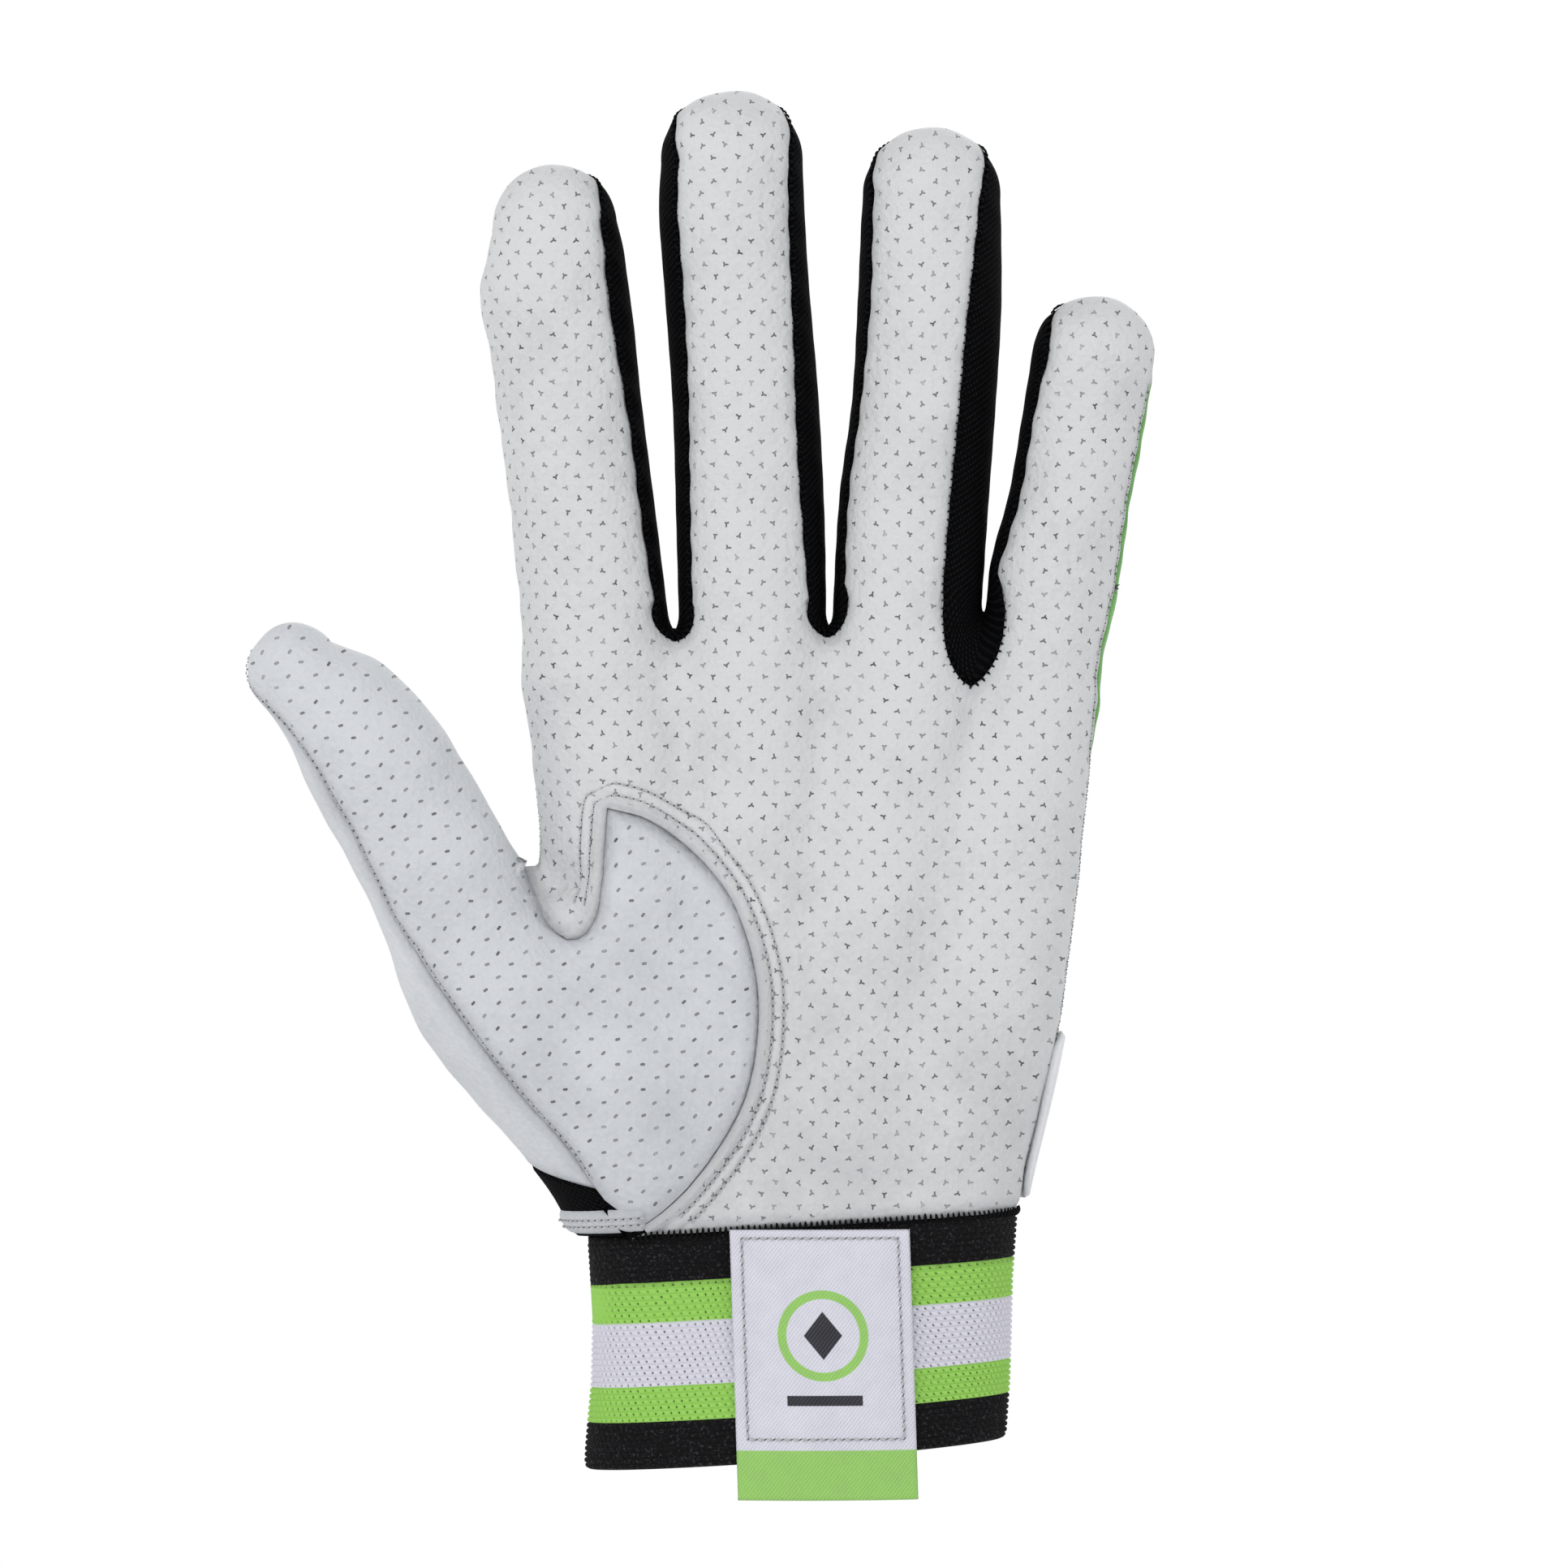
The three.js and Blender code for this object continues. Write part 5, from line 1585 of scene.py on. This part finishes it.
TOP_STITCH = Stitch(0.85, 0.34, 1.25)
THUMB_STITCH = Stitch(0.7, 0.26, 1.3)
SIDE_STITCH = Stitch(0.9, 0.3, 1.3, 0.0, 0.02)
OVERLOCK = Stitch(1.15, 0.42, 1.3, 90.0, 0.1)
WRIST_STITCH = Stitch(1.5, 0.5, 0.92, 90.0, 0.15)
FRAME_STITCH = Stitch(1.0, 0.44, FRAME_PITCH)
# A dot of painted shade for the needle holes between stitches.
NEEDLE_HOLE = Stitch(0.34, 0.3, 1.25)


def copies(faces: Array, placed: Array) -> Array:
    """The faces of every copy of a template, when the placed points have a row for each copy."""
    count, size = placed.shape[:2]
    return (faces[None] + np.arange(count)[:, None, None] * size).reshape(-1, 4)


def even_rays(rays: Array, pitch: float) -> Array:
    """Rays whose hits are a pitch apart along a line of rays."""
    p, _ = cast(rays)
    run = arc_length(p)
    keep = np.concatenate([[True], np.diff(run) > 1e-6])
    at = np.arange(pitch / 2, run[-1], pitch)
    return renewed(np.stack([np.interp(at, run[keep], rays[keep, k]) for k in range(6)], -1))


def shifted(rays: Array, shift: float) -> Array:
    """A line of rays moved sideways over the surface by a distance."""
    p, n = cast(rays)
    side = unit(np.cross(n, unit(np.gradient(p, axis=0))))
    moved = (p + side * shift) / SQUEEZE
    return aim(rays[:, :3], moved - rays[:, :3])


class Sewing:
    """Rows of stitches gathered by thread, then made as one mesh each."""

    def __init__(self) -> None:
        """Starts with no stitches."""
        self.rows: dict[Thread, list] = {thread: [] for thread in Thread}
        self.random = np.random.default_rng(SEED)

    def sew(self, rays: Array, stitch: Stitch, thread: Thread, edge: float, shift: float = 0.0,
            stand: float = 0.0, sunk: float = 0.0) -> None:
        """Sews a row along a line of rays.

        Args:
            rays: the seam.
            stitch: the stitch itself.
            thread: its thread.
            edge: the row's distance from the panel's edge, for the rolled edge under it.
            shift: how far beside the seam the row runs.
            stand: how far the panel is lifted off the hand.
            sunk: how deep the row lies in its hem.
        """
        line = even_rays(rays, stitch.pitch)
        if shift:
            line = even_rays(shifted(line, shift), stitch.pitch)
        p, n = cast(line)
        rise = stand - sunk + stitch.lift - rolled(edge, EDGE_ROLL) + swell(p, n)
        if stand == 0:
            rise = rise + relief(p, n) * near_edge(edge)
        p = p + n * rise[:, None]
        t = unit(np.gradient(p, axis=0))
        s = unit(np.cross(n, t))
        turn = (stitch.slant + self.random.normal(0, TURN_SPREAD, len(p))) * RADIANS
        along = t * np.cos(turn)[:, None] + s * np.sin(turn)[:, None]
        across = unit(np.cross(n, along))
        points, faces = stitch.template()
        size = 1 + self.random.normal(0, SIZE_SPREAD, len(p))[:, None, None]
        axes = np.stack([along, across, n], 1)
        placed = p[:, None] + np.einsum("kc,ncd->nkd", points, axes) * size
        self.rows[thread].append((placed, faces))
        # Dark dots go between white stitches: painted shade in the needle holes.
        if thread is Thread.WHITE:
            dots, faces = NEEDLE_HOLE.template()
            middle = (p[1:] + p[:-1]) / 2 - n[1:] * (stitch.lift + HOLE_DEPTH)
            placed = middle[:, None] + np.einsum("kc,ncd->nkd", dots, axes[1:])
            self.rows[Thread.HOLE_SHADE].append((placed, faces))

    def build(self) -> None:
        """Makes one mesh for each thread."""
        for thread, rows in self.rows.items():
            placed = np.concatenate([points for points, _ in rows])
            piece = add_piece(f"seam_thread_{thread.value}", placed.reshape(-1, 3),
                              copies(rows[0][1], placed), THREADS[thread])


class Seams:
    """All the stitching on the hand."""

    def __init__(self, cutting: Cutting) -> None:
        """Keeps the cutting whose seams are sewn."""
        self.cutting = cutting

    def build(self) -> None:
        """Sews the lobe, the thumb, the fingers, the wrist and the binding."""
        cut = self.cutting
        sewing = Sewing()
        lobe = joined(cut.notch_right[4:], cut.lobe[:-4])
        for shift in HEM_ROWS:
            sewing.sew(lobe, TOP_STITCH, Thread.WHITE, 3.0, shift, sunk=0.12)
        thumb = joined(front_edge(cut.thumb_front[0])[::-1], cut.seam_upper, cut.seam_lower)
        sewing.sew(thumb, THUMB_STITCH, Thread.WHITE, 0.8, 0.8)
        for i in range(3):
            strip = cut.fourchette(i)[0]
            for edge in (strip[:, 0], strip[:, -1]):
                sewing.sew(edge, OVERLOCK, Thread.BLACK, 0.35)
        outer = joined(cut.fronts[3][:SIDE_ROWS, -1][::-1], cut.right_upper, cut.right_lower)
        inner = joined(cut.fronts[0][:SIDE_ROWS, 0][::-1], cut.palm_left, cut.back_seam)
        for seam in (outer, inner):
            sewing.sew(seam, SIDE_STITCH, Thread.WHITE, 1.3, -1.3)
        sewing.sew(cut.palm_wrist, WRIST_STITCH, Thread.BLACK, 0.4)
        for row in BINDING_ROWS:
            sewing.sew(cut.binding()[0][row], TOP_STITCH, Thread.WHITE, 3.0, stand=BINDING_STAND)
        sewing.build()


def front_edge(grid: Array) -> Array:
    """The left edge of a digit's front rays, up to where the tip closes."""
    return grid[:COUNTS.length + 1 + int(COUNTS.tip * 0.8), 0]


@dataclass
class Cuff:
    """The striped knit cuff: loops in staggered rows, raised on the outside."""

    height_rows: int = 160
    around: int = 524
    loops_around: int = 131
    loops_high: int = 40
    wall: float = 2.0
    inner_rings: int = 5
    raised: float = 0.42
    oval_half: float = 0.382
    over_wrist: float = 0.15
    rim: float = 42
    bulge: float = 0.15
    row_lean: float = 0.22
    gap_wide: float = 0.26
    gap_high: float = 0.3
    thumb_side: tuple = ((0, 0.33, 0.62, 0.9, 1), (-2.0, -2.3, -1.5, 0.1, 0.5))
    little_side: tuple = ((0, 0.3, 0.75, 1), (0, -0.6, -0.6, -0.9))

    def ring(self, share: Array, turn: Array) -> tuple[Array, Array]:
        """Points and outward directions, from the hand's wrist at share 0 to the oval at 1."""
        d = turned(ACROSS, turn)
        ray = aim(np.array([0, 0, wrist_z(0.0)]), d + d[..., :1] * [0, 0, WRIST_SLOPE])
        hit = cast(ray)[0]
        half_wide = self.oval_half * HAND_BREADTH
        half_deep = half_wide * CUFF_DEPTH_SHARE
        oval = np.stack([d[:, 0] * half_wide, d[:, 1] * half_deep, d[:, 0] * half_wide * CUFF_SLOPE], -1)
        upper = np.stack([hit[:, 0], hit[:, 1], wrist_z(hit[:, 0]) - self.over_wrist], -1)
        n = unit(np.stack([d[:, 0] * half_deep, d[:, 1] * half_wide, 0 * d[:, 0]], -1))
        return mix(upper[None], oval[None], share[:, None, None]), np.broadcast_to(n, (len(share), *n.shape))

    def build(self) -> None:
        """Makes the knit: outside raised in loops, inside plain, both rims closed."""
        share = steps(self.height_rows)
        turn = np.arange(self.around) * (360 / self.around)
        p, n = self.ring(share, turn)
        row = share[:, None] * self.loops_high
        column = np.arange(self.around)[None] / self.around * self.loops_around
        beat = row % 1 - 0.5
        across = column + (np.floor(row) % 2) * 0.5 + self.row_lean * beat
        gap = np.abs(across % 1 - 0.5) * 2
        loop = np.sqrt(np.clip(1 - gap ** 4, 0, 1)) * np.sqrt(np.clip(np.cos(beat * math.pi), 0, 1))
        # Where painted shade falls in the gaps between loops, passed to the knit's colour.
        loop_gap_shade = np.exp(-((1 - gap) / self.gap_wide) ** 2 - (beat / self.gap_high) ** 2)
        rim = np.clip(np.minimum(share, 1 - share) * self.rim, 0, 1)[:, None]
        bulge = self.bulge * np.sin(math.pi * share)[:, None]
        rise = loop * self.raised - 0.5 * (1 - rim) - self.raised * 0.6 + bulge
        facing = np.sin(turn * RADIANS)[None]
        for table, towards in ((self.thumb_side, -facing), (self.little_side, facing)):
            rise = rise + np.interp(share, *table)[:, None] * np.clip(towards, 0, 1) ** 2
        outer = p + n * rise[..., None]
        coarse = np.linspace(0, self.height_rows, self.inner_rings).astype(int)
        inner = (p - n * self.wall)[coarse[::-1]]
        rings = np.concatenate([outer, inner])
        count = len(rings)
        ids = np.arange(count * self.around).reshape(count, self.around)
        down = np.roll(ids, -1, 0)
        faces = np.stack([ids, down, np.roll(down, -1, 1), np.roll(ids, -1, 1)], -1).reshape(-1, 4)
        lay = np.zeros((count, self.around, 3))
        lay[:len(share), :, 0] = (np.floor(row) + 0.5) / self.loops_high
        lay[:len(share), :, 1] = loop_gap_shade
        lay[len(share):, :, 0] = share[coarse[::-1]][:, None]
        piece = add_piece("cuff_knit", rings.reshape(-1, 3), faces, CUFF_KNIT, lay.reshape(-1, 3))
        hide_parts("cuff")

    def front_y(self, x: Array, z: Array) -> Array:
        """The depth of the cuff's front at places across and up."""
        share = np.clip((wrist_z(0.0) + x * WRIST_SLOPE - z)
                        / (wrist_z(0.0) + x * (WRIST_SLOPE - CUFF_SLOPE)), 0, 1)
        turn = np.linspace(-85, 85, 171)
        (top, low), _ = self.ring(np.array([0.0, 1.0]), turn)
        return mix(np.interp(x, top[:, 0], top[:, 1]), np.interp(x, low[:, 0], low[:, 1]), share)


@dataclass
class Label:
    """The woven label over the cuff's front: satin, a stitched frame and a green end."""

    middle: float = 3.2
    lean: float = 1.4
    width: float = 29.0
    length: float = 43.4
    wall: float = 0.7
    roll: float = 0.35
    stand: float = 1.05
    below_wrist: float = 0.6
    thread_stand: float = 0.08
    cells: tuple = (72, 108)

    def at(self, cuff: Cuff, u: Array, v: Array) -> Array:
        """The label's face at places across and down it, in millimetres, gently waved."""
        x = self.middle + u + v / self.length * self.lean
        z = wrist_z(self.middle) - self.below_wrist - v
        wave = 0.072 * np.sin(v * 0.35 + u * 0.1) + 0.048 * np.sin(u * 0.5)
        return np.stack([x, cuff.front_y(x, np.maximum(z, 0)) - self.stand + wave, z], -1)

    def build(self, cuff: Cuff) -> None:
        """Makes the label and its frame of stitches."""
        columns, rows = self.cells
        u, v = np.meshgrid((steps(columns) - 0.5) * self.width, steps(rows) * self.length)
        p = self.at(cuff, u, v)
        edge = np.minimum(self.width / 2 - np.abs(u), np.minimum(v, self.length - v))
        p[..., 1] += rolled(edge, self.roll)
        faces = grid_faces(*u.shape)[:, [0, 3, 2, 1]]
        lay = np.stack([u, v, edge], -1).reshape(-1, 3)
        piece = add_piece("label_satin", p.reshape(-1, 3), faces, LABEL_SATIN, lay)
        give_wall(piece, self.wall)
        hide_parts("woven_label")
        self.frame(cuff)

    def frame(self, cuff: Cuff):
        """Sews the frame: a row of stitches on each of the four sides. Returns its piece."""
        left, right = -FRAME_HALF, FRAME_HALF
        top, low = FRAME_MIDDLE - FRAME_HIGH, FRAME_MIDDLE + FRAME_HIGH
        corners = [(left, top), (right, top), (right, low), (left, low), (left, top)]
        points, faces = FRAME_STITCH.template()
        placed = []
        for (u0, v0), (u1, v1) in zip(corners, corners[1:]):
            count = int(round(math.hypot(u1 - u0, v1 - v0) / FRAME_PITCH))
            t = (np.arange(count) + 0.5) / count
            p = self.at(cuff, mix(u0, u1, t), mix(v0, v1, t)) - [0, self.thread_stand, 0]
            along = unit(p[-1] - p[0])
            axes = np.stack([along, unit(np.cross([0, -1, 0], along)), [0, -1.0, 0]])
            placed.append(p[:, None] + (points @ axes)[None])
        p = np.concatenate(placed)
        piece = add_piece("label_thread", p.reshape(-1, 3), copies(faces, p), THREADS[Thread.WHITE])
        return piece


class Studio:
    """Pale floor, white surroundings, soft lamps and the camera of the photograph."""

    def build(self) -> None:
        """Sets up everything that isn't the glove."""
        scene = bpy.context.scene
        scene.view_settings.view_transform = "Standard"
        world = bpy.data.worlds.new("surroundings")
        world.use_nodes = True
        self.sky(world.node_tree)
        scene.world = world
        self.floor()
        for lamp in LAMPS:
            self.lamp(*lamp)
        data = bpy.data.cameras.new("camera")
        data.lens = CAMERA_LENS
        data.sensor_width = CAMERA_SENSOR
        camera = bpy.data.objects.new("camera", data)
        camera.location = CAMERA_PLACE
        camera.rotation_euler = (math.pi / 2, 0, 0)
        scene.collection.objects.link(camera)
        scene.camera = camera

    def sky(self, tree) -> None:
        """White all round, softer overhead: the colour is a ramp over the direction's height."""
        paths = [tree.nodes.new(kind) for kind in (
            "ShaderNodeTexCoord", "ShaderNodeSeparateXYZ", "ShaderNodeValToRGB")]
        tree.links.new(paths[0].outputs["Generated"], paths[1].inputs[0])
        tree.links.new(paths[1].outputs["Z"], paths[2].inputs[0])
        for element, (position, colour) in zip(paths[2].color_ramp.elements, SKY):
            element.position, element.color = position, colour
        background = tree.nodes["Background"]
        tree.links.new(paths[2].outputs[0], background.inputs[0])
        background.inputs[1].default_value = 1.0

    def floor(self) -> None:
        """A pale floor, well under the glove."""
        places = (steps(FLOOR_CELLS) - 0.5) * FLOOR_WIDTH
        u, v = np.meshgrid(places, places)
        p = np.stack([u, v, 0 * u + FLOOR_HEIGHT], -1).reshape(-1, 3)
        mesh = bpy.data.meshes.new("floor")
        mesh.from_pydata(p.tolist(), [], grid_faces(*u.shape).tolist())
        mesh.polygons.foreach_set("use_smooth", np.ones(len(mesh.polygons), bool))
        mesh.materials.append(material(StudioFloor()))
        floor = bpy.data.objects.new("floor", mesh)
        bpy.context.scene.collection.objects.link(floor)

    def lamp(self, name: str, at: tuple, size: float, power: float) -> None:
        """A soft square lamp that looks at the glove."""
        data = bpy.data.lights.new(name, "AREA")
        data.size = size
        data.energy = power
        lamp = bpy.data.objects.new(name, data)
        lamp.location = at
        target = np.array(LAMP_TARGET) - np.array(at)
        flat = math.hypot(target[0], target[1])
        lamp.rotation_euler = (math.atan2(flat, -target[2]), 0, math.atan2(-target[0], target[1]))
        bpy.context.scene.collection.objects.link(lamp)


def main() -> None:
    """Builds the studio, the glove's panels, its stitching, cuff and label."""
    logging.basicConfig(level=logging.INFO, format="%(name)s %(message)s")
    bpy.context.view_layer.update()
    Studio().build()
    cutting = Cutting()
    Hand(cutting).build()
    Seams(cutting).build()
    cuff = Cuff()
    cuff.build()
    Label().build(cuff)


if __name__ == "__main__":
    main()
